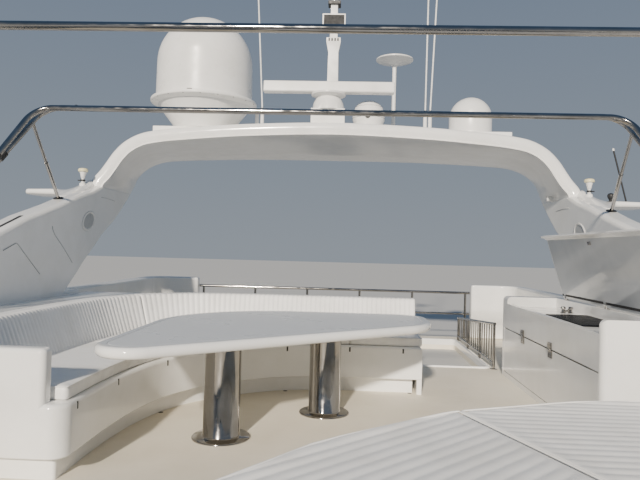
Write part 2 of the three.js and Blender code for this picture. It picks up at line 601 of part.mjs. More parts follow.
const wheelFlat = join(
  new THREE.TorusGeometry(wheelR - 14, 14, 8, 32),
  turned([[0, -20], [46, -20], [52, 0], [40, 22], [0, 26]], 0, 0, 20),
  ...[90, 210, 330].map((turn) => {
    const [x, y] = [Math.cos(THREE.MathUtils.degToRad(turn)), Math.sin(THREE.MathUtils.degToRad(turn))];
    return rod(20 * x, 20 * y, 0, (wheelR - 12) * x, (wheelR - 12) * y, 0, 18);
  }),
  rod(0, 0, -shaft, 0, 0, -10, 36, 12));
wheelFlat.applyQuaternion(new THREE.Quaternion().setFromUnitVectors(new THREE.Vector3(0, 0, 1), wheelAxis))
  .translate(...wheelCentre.toArray());
add('helm_wheel', wheelFlat, stainless);

// Helm bench and forward lounge
const bench = { x0: -1660, x1: -430, y0: -900, y1: -330, padY: -510, seatZ: 450 };
add('helm_bench', join(
  block(bench.x0 + 60, bench.y0 + 60, 0, bench.x1 - 60, bench.y1 - 40, 80),
  block(bench.x0, bench.y0, 79, bench.x1, bench.y1, bench.seatZ),
  block(bench.x0, bench.y1 - 70, 79, bench.x1, bench.y1, 900)), gelcoat);
add('helm_seat_cushion',
  block(bench.x0 + 10, bench.y0 - 15, bench.seatZ + gap, bench.x1 - 10, bench.padY, bench.seatZ + 120), vinyl);
add('helm_back_cushion',
  block(bench.x0 + 10, bench.padY + gap, bench.seatZ + gap, bench.x1 - 10, bench.y1 - 70 - gap, 950), vinyl);
const lounge = { x0: 380, y1: -850, base: 330, top: 460 };
const loungeBlock = (inset, z0, z1) =>
  fitNose(block(lounge.x0 + inset, -3000, z0, 2700, lounge.y1 - inset, z1), 1);
add('lounge_base', loungeBlock(0, 0, lounge.base), gelcoat);
add('lounge_cushion', loungeBlock(-15, lounge.base + gap, lounge.top), vinyl);

// Dome platforms and aerials on the arch
for (const [side, x0, x1] of [['starboard', -1960, -1040], ['port', 1160, 1880]]) {
  add(`platform_${side}`, seatOn(block(x0, 6440, 2380, x1, 7120, platformTop - gap), archWhole), gelcoat);
}
const domeArc = (r, top, steps = 6) => Array.from({ length: steps }, (_, i) => {
  const a = Math.PI / 2 * (i + 1) / steps;
  return [r * Math.cos(a) * (i + 1 < steps), top - r + r * Math.sin(a)];
});
const shellR = satcom.shellD / 2;
const flangeR = satcom.flangeD / 2;
add('satcom_base', turned([
  [0, platformTop + gap], [300, platformTop + gap], [320, platformTop + 30], [shellR - 25, satcom.flangeZ - 40],
  [flangeR, satcom.flangeZ - 14], [flangeR, satcom.flangeZ + 14], [shellR, satcom.flangeZ + 22],
  [0, satcom.flangeZ + 22]], satcom.x, satcom.y, 36), radome);
add('satcom_dome', turned([
  [0, satcom.flangeZ + 22 + gap], [shellR, satcom.flangeZ + 22 + gap], [shellR * 0.985, satcom.top - shellR],
  ...domeArc(shellR * 0.985, satcom.top, 7)], satcom.x, satcom.y, 36), radome);
const tvR = 232;
add('tv_dome', turned([
  [0, platformTop + gap], [tvR, platformTop + gap], [tvR, 2660], ...domeArc(tvR, 2660 + tvR)], 1500, 6750, 28),
radome);

const footZ = 2440; // where pieces on the arch start before they are cut to its top
add('radar_pedestal', seatOn(join(
  block(radar.x - 175, radar.y - 140, footZ, radar.x + 175, radar.y + 180, radar.z - 190),
  turned([
    [0, radar.z - 200], [172, radar.z - 192], [158, radar.z - 110], [138, radar.z - 75], [122, radar.z - 52],
    [150, radar.z - 34], [182, radar.z - 26], [182, radar.z - 6], [0, radar.z - 6]], radar.x, radar.y, 20)),
archWhole), radome);
const scannerHalf = radar.length / 2;
add('radar_scanner', join(
  loft([-1, 1].map((end) => [
    [-radar.depth / 2, 12], [-radar.depth / 2 + 14, 0], [radar.depth / 2 - 14, 0], [radar.depth / 2, 12],
    [radar.depth / 2 - 18, radar.height], [-radar.depth / 2 + 18, radar.height]].map(([y, z]) =>
    new THREE.Vector3(radar.x + end * scannerHalf, radar.y + y, radar.z + z)))),
  turned([[0, -5.5], [40, -5.5], [40, 20], [0, 20]], radar.x, radar.y, 16).translate(0, 0, radar.z)), radome);

const mastAt = { x: -50, y: 7210 };
// columns: z, half width, half depth
const mastSections = [
  [2310, 98, 100], [2600, 72, 90], [3515, 60, 68], [3640, 86, 76], [3690, 84, 74], [3691, 46, 50],
  [4092, 40, 46], [4093, 74, 68], [4135, 74, 68]];
add('mast', seatOn(join(
  loft(mastSections.map(([z, halfX, halfY]) =>
    [[-halfX, -halfY], [halfX, -halfY], [halfX, halfY], [-halfX, halfY]].map(([x, y]) =>
      new THREE.Vector3(mastAt.x + x, mastAt.y + y, z)))),
  block(mastAt.x - 137, mastAt.y - 75, 3817, mastAt.x + 137, mastAt.y - 40, 3975),
  turned([[0, 4130], [46, 4130], [46, 4190], [38, 4220], [0, 4227]], mastAt.x, mastAt.y, 16)),
archWhole), gelcoat);
const discAt = { x: 660, y: 6900, z: 3352, r: 210 };
add('disc_aerial', seatOn(join(
  rod(discAt.x, discAt.y, footZ, discAt.x, discAt.y, discAt.z - 60, 44, 10),
  turned([[0, -96], [24, -96], [36, -62], [120, -30], [discAt.r, -7], [discAt.r, 7], [120, 26], [0, 32]],
    discAt.x, discAt.y, 28).translate(0, 0, discAt.z)), archWhole), radome);
add('camera_housing', seatOn(turned([
  [0, footZ], [150, footZ], [160, 2553], [176, 2608], [168, 2669], [147, 2730], [120, 2764], [88, 2788],
  [50, 2801], [0, 2804]], 370, 6600, 24), archWhole), radome);
// columns: x at the foot, how far the tip leans to port, and its height
const whips = [
  ['starboard', [[-840, -134, 4900], [-900, 0, 2762]]],
  ['port', [[1020, 12, 4900], [1075, 78, 4900]]],
];
const whipFoot = { y: 6900, half: 60, top: 2540, sleeve: 2755 };
for (const [side, poles] of whips) {
  const xs = poles.map(([x]) => x);
  const y = whipFoot.y;
  add(`whip_${side}`, seatOn(join(
    block(Math.min(...xs) - whipFoot.half, y - whipFoot.half, footZ - 60,
      Math.max(...xs) + whipFoot.half, y + whipFoot.half, whipFoot.top),
    ...poles.flatMap(([x, lean, top]) => [
      rod(x, y, footZ, x, y, whipFoot.sleeve, 42, 8),
      rod(x, y, whipFoot.sleeve - 20, x + lean, y, top, 18, 6)])), archWhole), whipWhite);
}

// Awning bows: hoops hinged on the coamings
// columns: name, half width at the hinge, half width at the top, hinge y, top y, top z
const bows = [
  ['aft', 2460, 2005, 3370, 4200, 2128],
  ['middle', 2405, 1985, 3335, 4030, 2087],
  ['forward', 2460, 2050, 3300, 2600, 2125],
];
// A point on a bow's leg, part of the way from its hinge to its top
const bowPoint = ([, wide, narrow, y0, y1, z1], part, sign) => [
  sign * (wide + (narrow - wide) * part), y0 + (y1 - y0) * part, awning.hingeZ + (z1 - awning.hingeZ) * part];
for (const bow of bows) {
  const [name, wide, , y0] = bow;
  const z0 = awning.hingeZ;
  const along = (part, sign) => bowPoint(bow, part, sign);
  add(`awning_bow_${name}`, join(
    tube([along(0.035, -1), [...along(1, -1), 170], [...along(1, 1), 170], along(0.035, 1)],
      awning.tube, 10, 5),
    ...[-1, 1].flatMap((sign) => [
      rod(sign * wide, y0, z0, ...along(0.05, sign), 20),
      rod(sign * (wide - 14.5), y0, z0, sign * (wide + 14.5), y0, z0, 38, 12)])), stainless);
}
const strut = { foot: [2480, 5420, 1574], at: 0.9, d: 25, flangeD: 88 };
for (const [side, sign] of sides) {
  const web = join(
    block(2385, 3255, 800, 2520, 3415, 866),
    block(2420, 3262, 800, 2445, 3408, awning.hingeZ + 8));
  add(`awning_bracket_${side}`, cut(web, coamingSide()).translate(0, 0, gap), stainless).scale.x = sign;
  const foot = new THREE.Vector3(...strut.foot);
  const head = new THREE.Vector3(...bowPoint(bows[0], strut.at, 1));
  const stay = head.clone().sub(foot).normalize();
  const top = head.clone().addScaledVector(stay, -awning.tube / 2 - 2.5);
  const pole = join(
    sweepRing([foot, top], strut.d / 2, 10),
    rod(foot.x, foot.y, foot.z - 60, foot.x, foot.y - 4, foot.z + 12, strut.flangeD, 16));
  add(`awning_strut_${side}`, cut(pole, coamingSide()).translate(0, 0, gap), stainless).scale.x = sign;
}

boat.position.set(0, -(deck.aft + deck.nose) / 2, deck.thick);
export default boat;
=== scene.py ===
# The flybridge of a motor yacht, looking aft from the sunpad.
# Sizes are given in millimetres from the deck's datum point, as in the part's own source:
# +X to port, +Y aft, Z 0 on the sole. place() turns them into the frame's metres.

import math

import bmesh
import bpy
import numpy as np
from mathutils import Matrix, Vector


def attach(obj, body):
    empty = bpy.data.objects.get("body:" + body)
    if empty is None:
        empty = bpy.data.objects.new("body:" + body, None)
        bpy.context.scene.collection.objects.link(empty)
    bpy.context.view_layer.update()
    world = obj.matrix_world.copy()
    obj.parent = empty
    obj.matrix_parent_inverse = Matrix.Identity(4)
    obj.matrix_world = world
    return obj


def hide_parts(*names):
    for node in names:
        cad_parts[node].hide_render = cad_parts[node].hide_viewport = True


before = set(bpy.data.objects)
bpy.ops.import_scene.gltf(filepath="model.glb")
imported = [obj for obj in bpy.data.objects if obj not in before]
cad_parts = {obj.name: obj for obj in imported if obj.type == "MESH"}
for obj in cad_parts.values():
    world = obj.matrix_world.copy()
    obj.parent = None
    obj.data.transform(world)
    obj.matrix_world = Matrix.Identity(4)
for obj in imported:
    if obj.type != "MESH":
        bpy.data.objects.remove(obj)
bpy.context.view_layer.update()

datum = {"aft": 2805, "up": 120}  # from the deck's datum point to the frame's origin


def place(x, y, z):
    return Vector((x / 1000, (y - datum["aft"]) / 1000, (z + datum["up"]) / 1000))


# An sRGB hex colour turned to linear values, with its alpha
def linear(colour):
    parts = [int(colour[i:i + 2], 16) / 255 for i in (0, 2, 4)]
    return (*[c / 12.92 if c < 0.04045 else ((c + 0.055) / 1.055) ** 2.4 for c in parts], 1)


def addNode(tree, kind, values=(), links=(), **settings):
    node = tree.nodes.new(kind)
    for key, value in settings.items():
        setattr(node, key, value)
    for socket, value in dict(values).items():
        node.inputs[socket].default_value = value
    for socket, source in dict(links).items():
        tree.links.new(source, node.inputs[socket])
    return node


# Camera: near the centre line, just forward of the sunpad, looking aft
# focal in pixels of a frame frameWidth pixels wide; sensor in mm, near and far in metres
camera = {"x": 150, "y": 0, "z": 1170, "yaw": -2.4, "pitch": 0.9, "roll": 1.5, "focal": 605,
          "frameWidth": 640, "sensor": 36, "near": 0.05, "far": 200}


def aimCamera():
    yaw, pitch, roll = (math.radians(camera[k]) for k in ("yaw", "pitch", "roll"))
    ahead = Vector((math.sin(yaw) * math.cos(pitch), math.cos(yaw) * math.cos(pitch), math.sin(pitch)))
    right = Vector((math.cos(yaw), -math.sin(yaw), 0))
    up = right.cross(ahead)
    right, up = (right * math.cos(roll) + up * math.sin(roll), up * math.cos(roll) - right * math.sin(roll))
    turn = Matrix((right, up, -ahead)).transposed().to_4x4()
    data = bpy.data.cameras.new("camera")
    data.sensor_width = camera["sensor"]
    data.lens = camera["sensor"] * camera["focal"] / camera["frameWidth"]
    data.clip_start, data.clip_end = camera["near"], camera["far"]
    eye = bpy.data.objects.new("camera", data)
    bpy.context.scene.collection.objects.link(eye)
    eye.matrix_world = Matrix.Translation(place(camera["x"], camera["y"], camera["z"])) @ turn
    bpy.context.scene.camera = eye


aimCamera()
print("camera set")

# Light: a soft sky, paler at the horizon, and one low broad sun from ahead and a little to starboard
# haze is how high the pale horizon reaches; softness is the sun's width in degrees
light = {"zenith": "6F8FB8", "horizon": "C3CEDA", "haze": 0.75, "sky": 0.52, "sunColour": "FFF3E2",
         "sun": 6.0, "softness": 2.5, "from": (-0.17, -0.985, 0.43)}


def lightScene():
    world = bpy.data.worlds.new("studio")
    bpy.context.scene.world = world
    world.use_nodes = True
    tree = world.node_tree
    sky = tree.nodes["Background"]
    sky.inputs["Strength"].default_value = light["sky"]
    where = addNode(tree, "ShaderNodeTexCoord").outputs["Generated"]
    height = addNode(tree, "ShaderNodeSeparateXYZ", (), {"Vector": where}).outputs["Z"]
    rise = addNode(tree, "ShaderNodeMapRange", {"From Min": 0.0, "From Max": light["haze"]},
                   {"Value": height})
    colour = addNode(tree, "ShaderNodeMixRGB",
                     {"Color1": linear(light["horizon"]), "Color2": linear(light["zenith"])},
                     {"Fac": rise.outputs["Result"]})
    tree.links.new(colour.outputs["Color"], sky.inputs["Color"])
    sun = bpy.data.lights.new("sun", "SUN")
    sun.color = linear(light["sunColour"])[:3]
    sun.energy = light["sun"]
    sun.angle = math.radians(light["softness"])
    lamp = bpy.data.objects.new("sun", sun)
    bpy.context.scene.collection.objects.link(lamp)
    lamp.rotation_mode = "QUATERNION"
    lamp.rotation_quaternion = (-Vector(light["from"])).to_track_quat("-Z", "Y")


lightScene()


# Materials. Each starts from what the real surface is, and patterns are sized in millimetres.
# colour and worn: the two colours that patches of patch mm run between
# rough: lowest and highest roughness, over smudges of smudge mm
# grain: rows of pattern, size in mm and depth in mm, added up in one bump. What is finer than
# 3 mm in the real thing is drawn at 3 to 5 mm, so that it can show
finishes = {
    # Polished polyester gelcoat out of a mould: hard gloss, faint ripple, and traces of rinse water
    "moulded_gelcoat": {
        "colour": "F3F3F1", "worn": "E9E9E5", "patch": 420, "rough": (0.1, 0.24), "smudge": 160,
        "grain": [("noise", 130, 0.5), ("noise", 9, 0.02)],
        "sockets": {"IOR": 1.5, "Coat Weight": 0.35, "Coat Roughness": 0.06}},
    # Gelcoat with a fine non-slip texture rolled in: warmer and matt
    "nonslip_gelcoat": {
        "colour": "E9E2D2", "worn": "DDD5C2", "patch": 700, "rough": (0.55, 0.75), "smudge": 220,
        "grain": [("cells", 5, 0.35), ("noise", 60, 0.2)],
        "sockets": {"IOR": 1.48}},
    # Marine upholstery: knitted polyester with an embossed PVC face, soft sheen and a leather grain
    "embossed_vinyl": {
        "colour": "F2F2F0", "worn": "E6E5E1", "patch": 260, "rough": (0.4, 0.58), "smudge": 90,
        "grain": [("cells", 3.5, 0.1), ("noise", 45, 0.3)],
        "sockets": {"IOR": 1.46, "Sheen Weight": 0.12, "Sheen Roughness": 0.4}},
    # Sprayed polyurethane lacquer on the table's edge: deep gloss
    "lacquered_rim": {
        "colour": "F6F6F4", "worn": "EFEFEB", "patch": 300, "rough": (0.06, 0.14), "smudge": 120,
        "grain": [("noise", 90, 0.15)],
        "sockets": {"IOR": 1.5, "Coat Weight": 0.6, "Coat Roughness": 0.03}},
    # Pressed melamine laminate let into the table: satin and nearly even; its light grey is partly painted
    # shade of the flat top, which the low sun lights at a glancing angle
    "laminate": {
        "colour": "D9DCDE", "worn": "D7DADC", "patch": 360, "rough": (0.27, 0.3), "smudge": 400,
        "grain": [("noise", 3, 0.02)],
        "sockets": {"IOR": 1.49}},
    # Drawn and polished 316 stainless: near mirror, a little wavy, with handling smudges; its colour is
    # drawn darker and warmer than the metal's, as painted reflection of brown surroundings
    "polished_stainless": {
        "colour": "A6A39F", "worn": "8E8B87", "patch": 180, "rough": (0.05, 0.16), "smudge": 60,
        "grain": [("noise", 25, 0.03)],
        "sockets": {"Metallic": 1.0}},
    # Dome shells of painted glass fibre: satin, a trace of orange peel
    "painted_radome": {
        "colour": "EDEDEB", "worn": "E2E2DE", "patch": 350, "rough": (0.26, 0.38), "smudge": 150,
        "grain": [("noise", 6, 0.05), ("noise", 200, 0.6)],
        "sockets": {"IOR": 1.48}},
    # Pultruded glass fibre rod with a thin white sleeve
    "fibreglass_rod": {
        "colour": "EAEBEA", "worn": "DADBD8", "patch": 120, "rough": (0.38, 0.52), "smudge": 40,
        "grain": [("noise", 4, 0.08)],
        "sockets": {"IOR": 1.5}},
    # Rolled glass ceramic of a cook top: near black and smooth. It mirrors little in the
    # photograph, so its reflection is held low
    "ceramic_glass": {
        "colour": "14161A", "worn": "1C1F24", "patch": 90, "rough": (0.18, 0.26), "smudge": 50,
        "grain": [("noise", 40, 0.02)],
        "sockets": {"IOR": 1.03, "Specular IOR Level": 0.3}},
    # Grey tinted cast acrylic: smooth and seen through
    "tinted_acrylic": {
        "colour": "6D757C", "worn": "646C73", "patch": 300, "rough": (0.02, 0.07), "smudge": 150,
        "grain": [("noise", 180, 0.2)],
        "sockets": {"IOR": 1.49, "Transmission Weight": 0.85}},
    # Injection moulded ASA: black, evenly satin
    "moulded_asa": {
        "colour": "1D1E20", "worn": "2A2B2D", "patch": 60, "rough": (0.42, 0.58), "smudge": 30,
        "grain": [("noise", 3, 0.05)],
        "sockets": {"IOR": 1.52}},
    # Extruded EPDM of gaskets and seams, and of the dark slot on the coaming: matt. The same black also
    # stands for painted shade in the gaps under the radar's head and the bar's lid
    "rubber_and_gap_shade": {
        "colour": "2B2C2E", "worn": "3A3B3C", "patch": 40, "rough": (0.65, 0.8), "smudge": 30,
        "grain": [("noise", 4, 0.1)],
        "sockets": {"IOR": 1.5}},
    # Light grey satin beads along the joints between mouldings: the grey is painted shade in the joints'
    # gaps
    "painted_gap_shade": {
        "colour": "BBBDBD", "worn": "AFB2B3", "patch": 80, "rough": (0.5, 0.65), "smudge": 50,
        "grain": [("noise", 5, 0.1)],
        "sockets": {"IOR": 1.47}},
    # The lid's gelcoat: the same gloss over a cooler grey, which is painted shade of a white lid standing
    # in shade; the switch plate uses the same grey
    "grey_and_painted_shade_gelcoat": {
        "colour": "CFD2D4", "worn": "C3C7CA", "patch": 380, "rough": (0.08, 0.2), "smudge": 150,
        "grain": [("noise", 140, 0.4), ("noise", 9, 0.02)],
        "sockets": {"IOR": 1.5, "Coat Weight": 0.4, "Coat Roughness": 0.05}},
    # Injection moulded polycarbonate of the lamps' lenses and the compass bowl: half clear, glossy
    "lamp_lens": {
        "colour": "DDE4E8", "worn": "CBD3D8", "patch": 40, "rough": (0.05, 0.12), "smudge": 20,
        "grain": [("noise", 5, 0.05)],
        "sockets": {"IOR": 1.58, "Transmission Weight": 0.5}},
    # Moulded ABS of the speakers' grilles, pierced all over: the holes are drawn as 9 mm dimples, and the
    # grey is partly painted shade of the recess behind the rim
    "pierced_grille": {
        "colour": "B4B7B8", "worn": "A7AAAC", "patch": 30, "rough": (0.4, 0.55), "smudge": 40,
        "grain": [("cells", 9, 1.2)],
        "sockets": {"IOR": 1.52}},
    # Float glass over dark dials, the screen and the camera's eye: black, hard gloss
    "screen_glass": {
        "colour": "0B0D10", "worn": "14171B", "patch": 120, "rough": (0.03, 0.09), "smudge": 40,
        "grain": [("noise", 60, 0.02)],
        "sockets": {"IOR": 1.52, "Coat Weight": 0.5, "Coat Roughness": 0.03}},
    # Aged cream cap of the positioning aerials: ASA that has yellowed
    "yellowed_cap": {
        "colour": "E7E0B8", "worn": "D9D09F", "patch": 30, "rough": (0.35, 0.5), "smudge": 30,
        "grain": [("noise", 4, 0.05)],
        "sockets": {"IOR": 1.5}},
}


def makeFinish(name, facts):
    material = bpy.data.materials.new(name)
    material.use_nodes = True
    tree = material.node_tree
    shader = tree.nodes["Principled BSDF"]
    for socket, value in facts["sockets"].items():
        shader.inputs[socket].default_value = value
    where = addNode(tree, "ShaderNodeTexCoord").outputs["Object"]
    patches = addNode(tree, "ShaderNodeTexNoise",
                      {"Scale": 1000 / facts["patch"], "Detail": 5, "Roughness": 0.6},
                      {"Vector": where})
    patchShare = addNode(tree, "ShaderNodeMapRange", {"From Min": 0.42, "From Max": 0.72},
                         {"Value": patches.outputs["Fac"]})
    colour = addNode(tree, "ShaderNodeMixRGB",
                     {"Color1": linear(facts["colour"]), "Color2": linear(facts["worn"])},
                     {"Fac": patchShare.outputs["Result"]})
    tree.links.new(colour.outputs["Color"], shader.inputs["Base Color"])
    low, high = facts["rough"]
    smudges = addNode(tree, "ShaderNodeTexNoise", {"Scale": 1000 / facts["smudge"], "Detail": 3},
                      {"Vector": where})
    gloss = addNode(tree, "ShaderNodeMapRange",
                    {"From Min": 0.35, "From Max": 0.7, "To Min": low, "To Max": high},
                    {"Value": smudges.outputs["Fac"]})
    tree.links.new(gloss.outputs["Result"], shader.inputs["Roughness"])
    normal = None
    for pattern, size, depth in facts["grain"]:
        if pattern == "cells":
            relief = addNode(tree, "ShaderNodeTexVoronoi", {"Scale": 1000 / size}, {"Vector": where})
            height = relief.outputs["Distance"]
        else:
            relief = addNode(tree, "ShaderNodeTexNoise", {"Scale": 1000 / size, "Detail": 2},
                             {"Vector": where})
            height = relief.outputs["Fac"]
        links = {"Height": height}
        if normal:
            links["Normal"] = normal
        normal = addNode(tree, "ShaderNodeBump", {"Distance": depth / 1000, "Strength": 1.0},
                         links).outputs["Normal"]
    tree.links.new(normal, shader.inputs["Normal"])
    return material


materials = {name: makeFinish(name, facts) for name, facts in finishes.items()}
print("materials made")


# Shapes. Each returns (points, faces) in millimetres; makePiece joins them into one object.
def boxShape(x0, y0, z0, x1, y1, z1):
    points = [Vector((x, y, z)) for z in (z0, z1) for x, y in ((x0, y0), (x1, y0), (x1, y1), (x0, y1))]
    return points, [(3, 2, 1, 0), (4, 5, 6, 7), (0, 1, 5, 4), (1, 2, 6, 5), (2, 3, 7, 6), (3, 0, 4, 7)]


def loftShape(rings, closed=False):
    count = len(rings[0])
    faces = []
    for r in range(len(rings) - (0 if closed else 1)):
        here, there = r * count, (r + 1) % len(rings) * count
        faces += [(here + i, here + (i + 1) % count, there + (i + 1) % count, there + i)
                  for i in range(count)]
    if not closed:
        last = (len(rings) - 1) * count
        faces += [tuple(reversed(range(count))), tuple(range(last, last + count))]
    return [Vector(p) for ring in rings for p in ring], faces


def slabShape(outline, z0, z1):
    return loftShape([[(x, y, z) for x, y in outline] for z in (z0, z1)])


# The cosine and sine at so many even steps round a circle
def circle(sides):
    return [(math.cos(2 * math.pi * k / sides), math.sin(2 * math.pi * k / sides)) for k in range(sides)]


# A profile of (radius, height) turned about an upright line
def turnedShape(profile, x=0, y=0, sides=64):
    points, faces, stations = [], [], []
    for r, z in profile:
        stations.append((len(points), r > 0))
        points += [Vector((x + r * c, y + r * s, z)) for c, s in circle(sides if r > 0 else 1)]
    for (a, aWide), (b, bWide) in zip(stations, stations[1:]):
        for k in range(sides):
            n = (k + 1) % sides
            face = [a + k, a + n] if aWide else [a]
            face += [b + n, b + k] if bWide else [b]
            if len(face) > 2:
                faces.append(tuple(face))
    return points, faces


# Rings square to a line of stops, each turned as little as may be from the one before
def ringsAlong(stops, radius, sides, closed=False):
    rings, up = [], Vector((0.31, 0.17, 0.93))
    for i, stop in enumerate(stops):
        if closed:
            ahead = (stops[(i + 1) % len(stops)] - stops[i - 1]).normalized()
        else:
            ahead = (stops[min(i + 1, len(stops) - 1)] - stops[max(i - 1, 0)]).normalized()
        side = up.cross(ahead).normalized()
        up = ahead.cross(side).normalized()
        rings.append([stop + radius * (side * c + up * s) for c, s in circle(sides)])
    return rings


def rodShape(start, end, d, sides=16):
    return loftShape(ringsAlong([Vector(start), Vector(end)], d / 2, sides))


# The arc that rounds off a corner, in count steps or in steps of so many degrees
def cornerArc(before, corner, after, r, count=0, step=6):
    back, on = (before - corner).normalized(), (after - corner).normalized()
    half = back.angle(on) / 2
    centre = corner + (back + on).normalized() * (r / math.sin(half))
    out, along = (corner - centre).normalized(), (on - back).normalized()
    sweep = math.pi - 2 * half
    count = count or max(3, round(math.degrees(sweep) / step))
    turns = [sweep * (k / count - 0.5) for k in range(count + 1)]
    return [centre + out * r * math.cos(t) + along * r * math.sin(t) for t in turns]


# A tube of straight runs with bent corners, each corner as (x, y, z, bend radius)
def tubeShape(corners, d, sides, perBend):
    at = [Vector(c[:3]) for c in corners]
    stops = [at[0]]
    for i in range(1, len(at) - 1):
        stops += cornerArc(at[i - 1], at[i], at[i + 1], corners[i][3], perBend)
    return loftShape(ringsAlong(stops + [at[-1]], d / 2, sides))


def beadShape(points, d, sides=8, closed=False):
    return loftShape(ringsAlong([Vector(p) for p in points], d / 2, sides, closed), closed)


# The joint round a hatch or locker, drawn flat
def hatchLine(left, low, right, high, r, d):
    corners = roundedOutline([(left, low, r), (right, low, r), (right, high, r), (left, high, r)])
    return beadShape(ringAt(corners, 0), d, 6, True)


# Plan outline with rounded corners, each as (x, y, radius)
def roundedOutline(corners, step=6):
    outline = []
    for i, (x, y, r) in enumerate(corners):
        before, after = Vector(corners[i - 1][:2]), Vector(corners[(i + 1) % len(corners)][:2])
        outline += cornerArc(before, Vector((x, y)), after, r, step=step) if r else [Vector((x, y))]
    return outline


# An outline as a flat ring of points at one height
def ringAt(outline, z):
    return [(p.x, p.y, z) for p in outline]


# An outline drawn in by an even distance
def offsetLoop(outline, inset):
    moved = []
    area = sum(a.x * b.y - b.x * a.y for a, b in zip(outline, outline[1:] + outline[:1]))
    turn = 1 if area > 0 else -1
    for i, p in enumerate(outline):
        before, after = ((p - outline[i - 1]).normalized(),
                         (outline[(i + 1) % len(outline)] - p).normalized())
        along = (before + after).normalized()
        miter = max(0.4, along.dot(after))
        moved.append(p + Vector((-along.y, along.x)) * (turn * inset / miter))
    return moved


# A smooth line through the given points, with so many steps to each stretch
def smoothLine(points, steps=8):
    line = []
    count = len(points)
    for i in range(count - 1):
        a, b = points[i], points[i + 1]
        back = points[i - 1] if i else a * 2 - b
        front = points[i + 2] if i + 2 < count else b * 2 - a
        for k in range(steps):
            t = k / steps
            line.append(0.5 * (2 * a + (b - back) * t + (2 * back - 5 * a + 4 * b - front) * t ** 2
                               + (3 * a - back - 3 * b + front) * t ** 3))
    return line + [points[-1]]


# A line moved sideways by an even distance
def besideLine(line, distance):
    moved = []
    for i, p in enumerate(line):
        along = (line[min(i + 1, len(line) - 1)] - line[max(i - 1, 0)]).normalized()
        moved.append(p + Vector((along.y, -along.x)) * distance)
    return moved


# The point at a share of a line's length
def alongLine(line, share):
    steps = [(b - a).length for a, b in zip(line, line[1:])]
    left = share * sum(steps)
    for a, b, step in zip(line, line[1:], steps):
        if left <= step + 1e-9:
            return a.lerp(b, left / step)
        left -= step
    return line[-1].copy()


# The height at y of a broken line of (y, z) points
def heightAt(line, y):
    for (y0, z0), (y1, z1) in zip(line, line[1:]):
        if y <= y1:
            return z0 + (z1 - z0) * (y - y0) / (y1 - y0)
    return line[-1][1]


def mirrored(shape):
    points, faces = shape
    return [Vector((-p.x, p.y, p.z)) for p in points], [tuple(reversed(f)) for f in faces]


def shifted(shape, x=0, y=0, z=0):
    return [p + Vector((x, y, z)) for p in shape[0]], shape[1]


# Shapes are drawn to port, and flipped for starboard
bothSides = (("starboard", mirrored), ("port", lambda shape: shape))


# Turns a small fitting's own x, y and z to a place on a face: right and up lie in the face
def onFace(shape, at, right, up):
    right, up = Vector(right).normalized(), Vector(up).normalized()
    out = right.cross(up)
    return [Vector(at) + right * p.x + up * p.y + out * p.z for p in shape[0]], shape[1]


def makePiece(name, shapes, material, stands=(), body="flybridge", bevel=0, segments=3, turn=30, crease=40):
    mesh = bpy.data.meshes.new(name)
    points, faces = [], []
    for shapePoints, shapeFaces in shapes:
        start = len(points)
        points += [place(*p) for p in shapePoints]
        faces += [tuple(start + i for i in face) for face in shapeFaces]
    mesh.from_pydata([tuple(p) for p in points], [], faces)
    bm = bmesh.new()
    bm.from_mesh(mesh)
    bmesh.ops.recalc_face_normals(bm, faces=bm.faces)
    bm.to_mesh(mesh)
    bm.free()
    return dressMesh(name, mesh, material, stands, body, bevel, segments, turn, crease)


def dressMesh(name, mesh, material, stands, body, bevel, segments, turn, crease, miter="MITER_ARC"):
    mesh.materials.clear()
    mesh.materials.append(materials[material])
    mesh.shade_smooth()
    piece = bpy.data.objects.new(name, mesh)
    bpy.context.scene.collection.objects.link(piece)
    if bevel:
        edge = piece.modifiers.new("edges", "BEVEL")
        edge.width, edge.segments = bevel / 1000, segments
        edge.limit_method, edge.angle_limit = "ANGLE", math.radians(turn)
        edge.miter_outer = miter
        even = piece.modifiers.new("evenShading", "WEIGHTED_NORMAL")
        even.keep_sharp = False
    else:
        mesh.set_sharp_from_angle(angle=math.radians(crease))
    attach(piece, body)
    if stands:
        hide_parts(*stands)
    return piece


# A moulded piece: the CAD solid's own faces, with its edges rounded as they leave a mould
def moulded(node, material, bevel, turn=30, flat=0.8, body="flybridge"):
    mesh = bpy.data.meshes.new(node + "_moulding")
    bm = bmesh.new()
    bm.from_mesh(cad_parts[node].data)
    bmesh.ops.remove_doubles(bm, verts=bm.verts, dist=0.0003)
    bmesh.ops.dissolve_limit(bm, angle_limit=math.radians(flat), verts=bm.verts, edges=bm.edges)
    bmesh.ops.recalc_face_normals(bm, faces=bm.faces)
    for layers in (bm.loops.layers.float_vector, bm.loops.layers.uv):
        for layer in list(layers.values()):
            layers.remove(layer)
    bm.to_mesh(mesh)
    bm.free()
    if "custom_normal" in mesh.attributes:
        mesh.attributes.remove(mesh.attributes["custom_normal"])
    return dressMesh(node + "_moulding", mesh, material, [node], body, bevel, 3, turn, 40, "MITER_SHARP")


for node, bevel in [("coaming_forward", 16), ("coaming_starboard", 24), ("coaming_port", 24)]:
    moulded(node, "moulded_gelcoat", bevel, flat=0.5)
moulded("bar_cabinet", "moulded_gelcoat", 10, turn=50, flat=0.5)
for node, material, bevel in [
        ("deck_sole", "nonslip_gelcoat", 6),
        ("bulwark_starboard", "moulded_gelcoat", 30), ("bulwark_port", "moulded_gelcoat", 30),
        ("sunpad_base", "moulded_gelcoat", 14),
        ("helm_console", "moulded_gelcoat", 16), ("helm_bench", "moulded_gelcoat", 14),
        ("lounge_base", "moulded_gelcoat", 14), ("platform_starboard", "moulded_gelcoat", 14),
        ("platform_port", "moulded_gelcoat", 14), ("mast", "moulded_gelcoat", 6),
        ("awning_bracket_starboard", "polished_stainless", 3),
        ("awning_bracket_port", "polished_stainless", 3),
        ("radar_pedestal", "painted_radome", 8)]:
    moulded(node, material, bevel)
print("mouldings dressed")

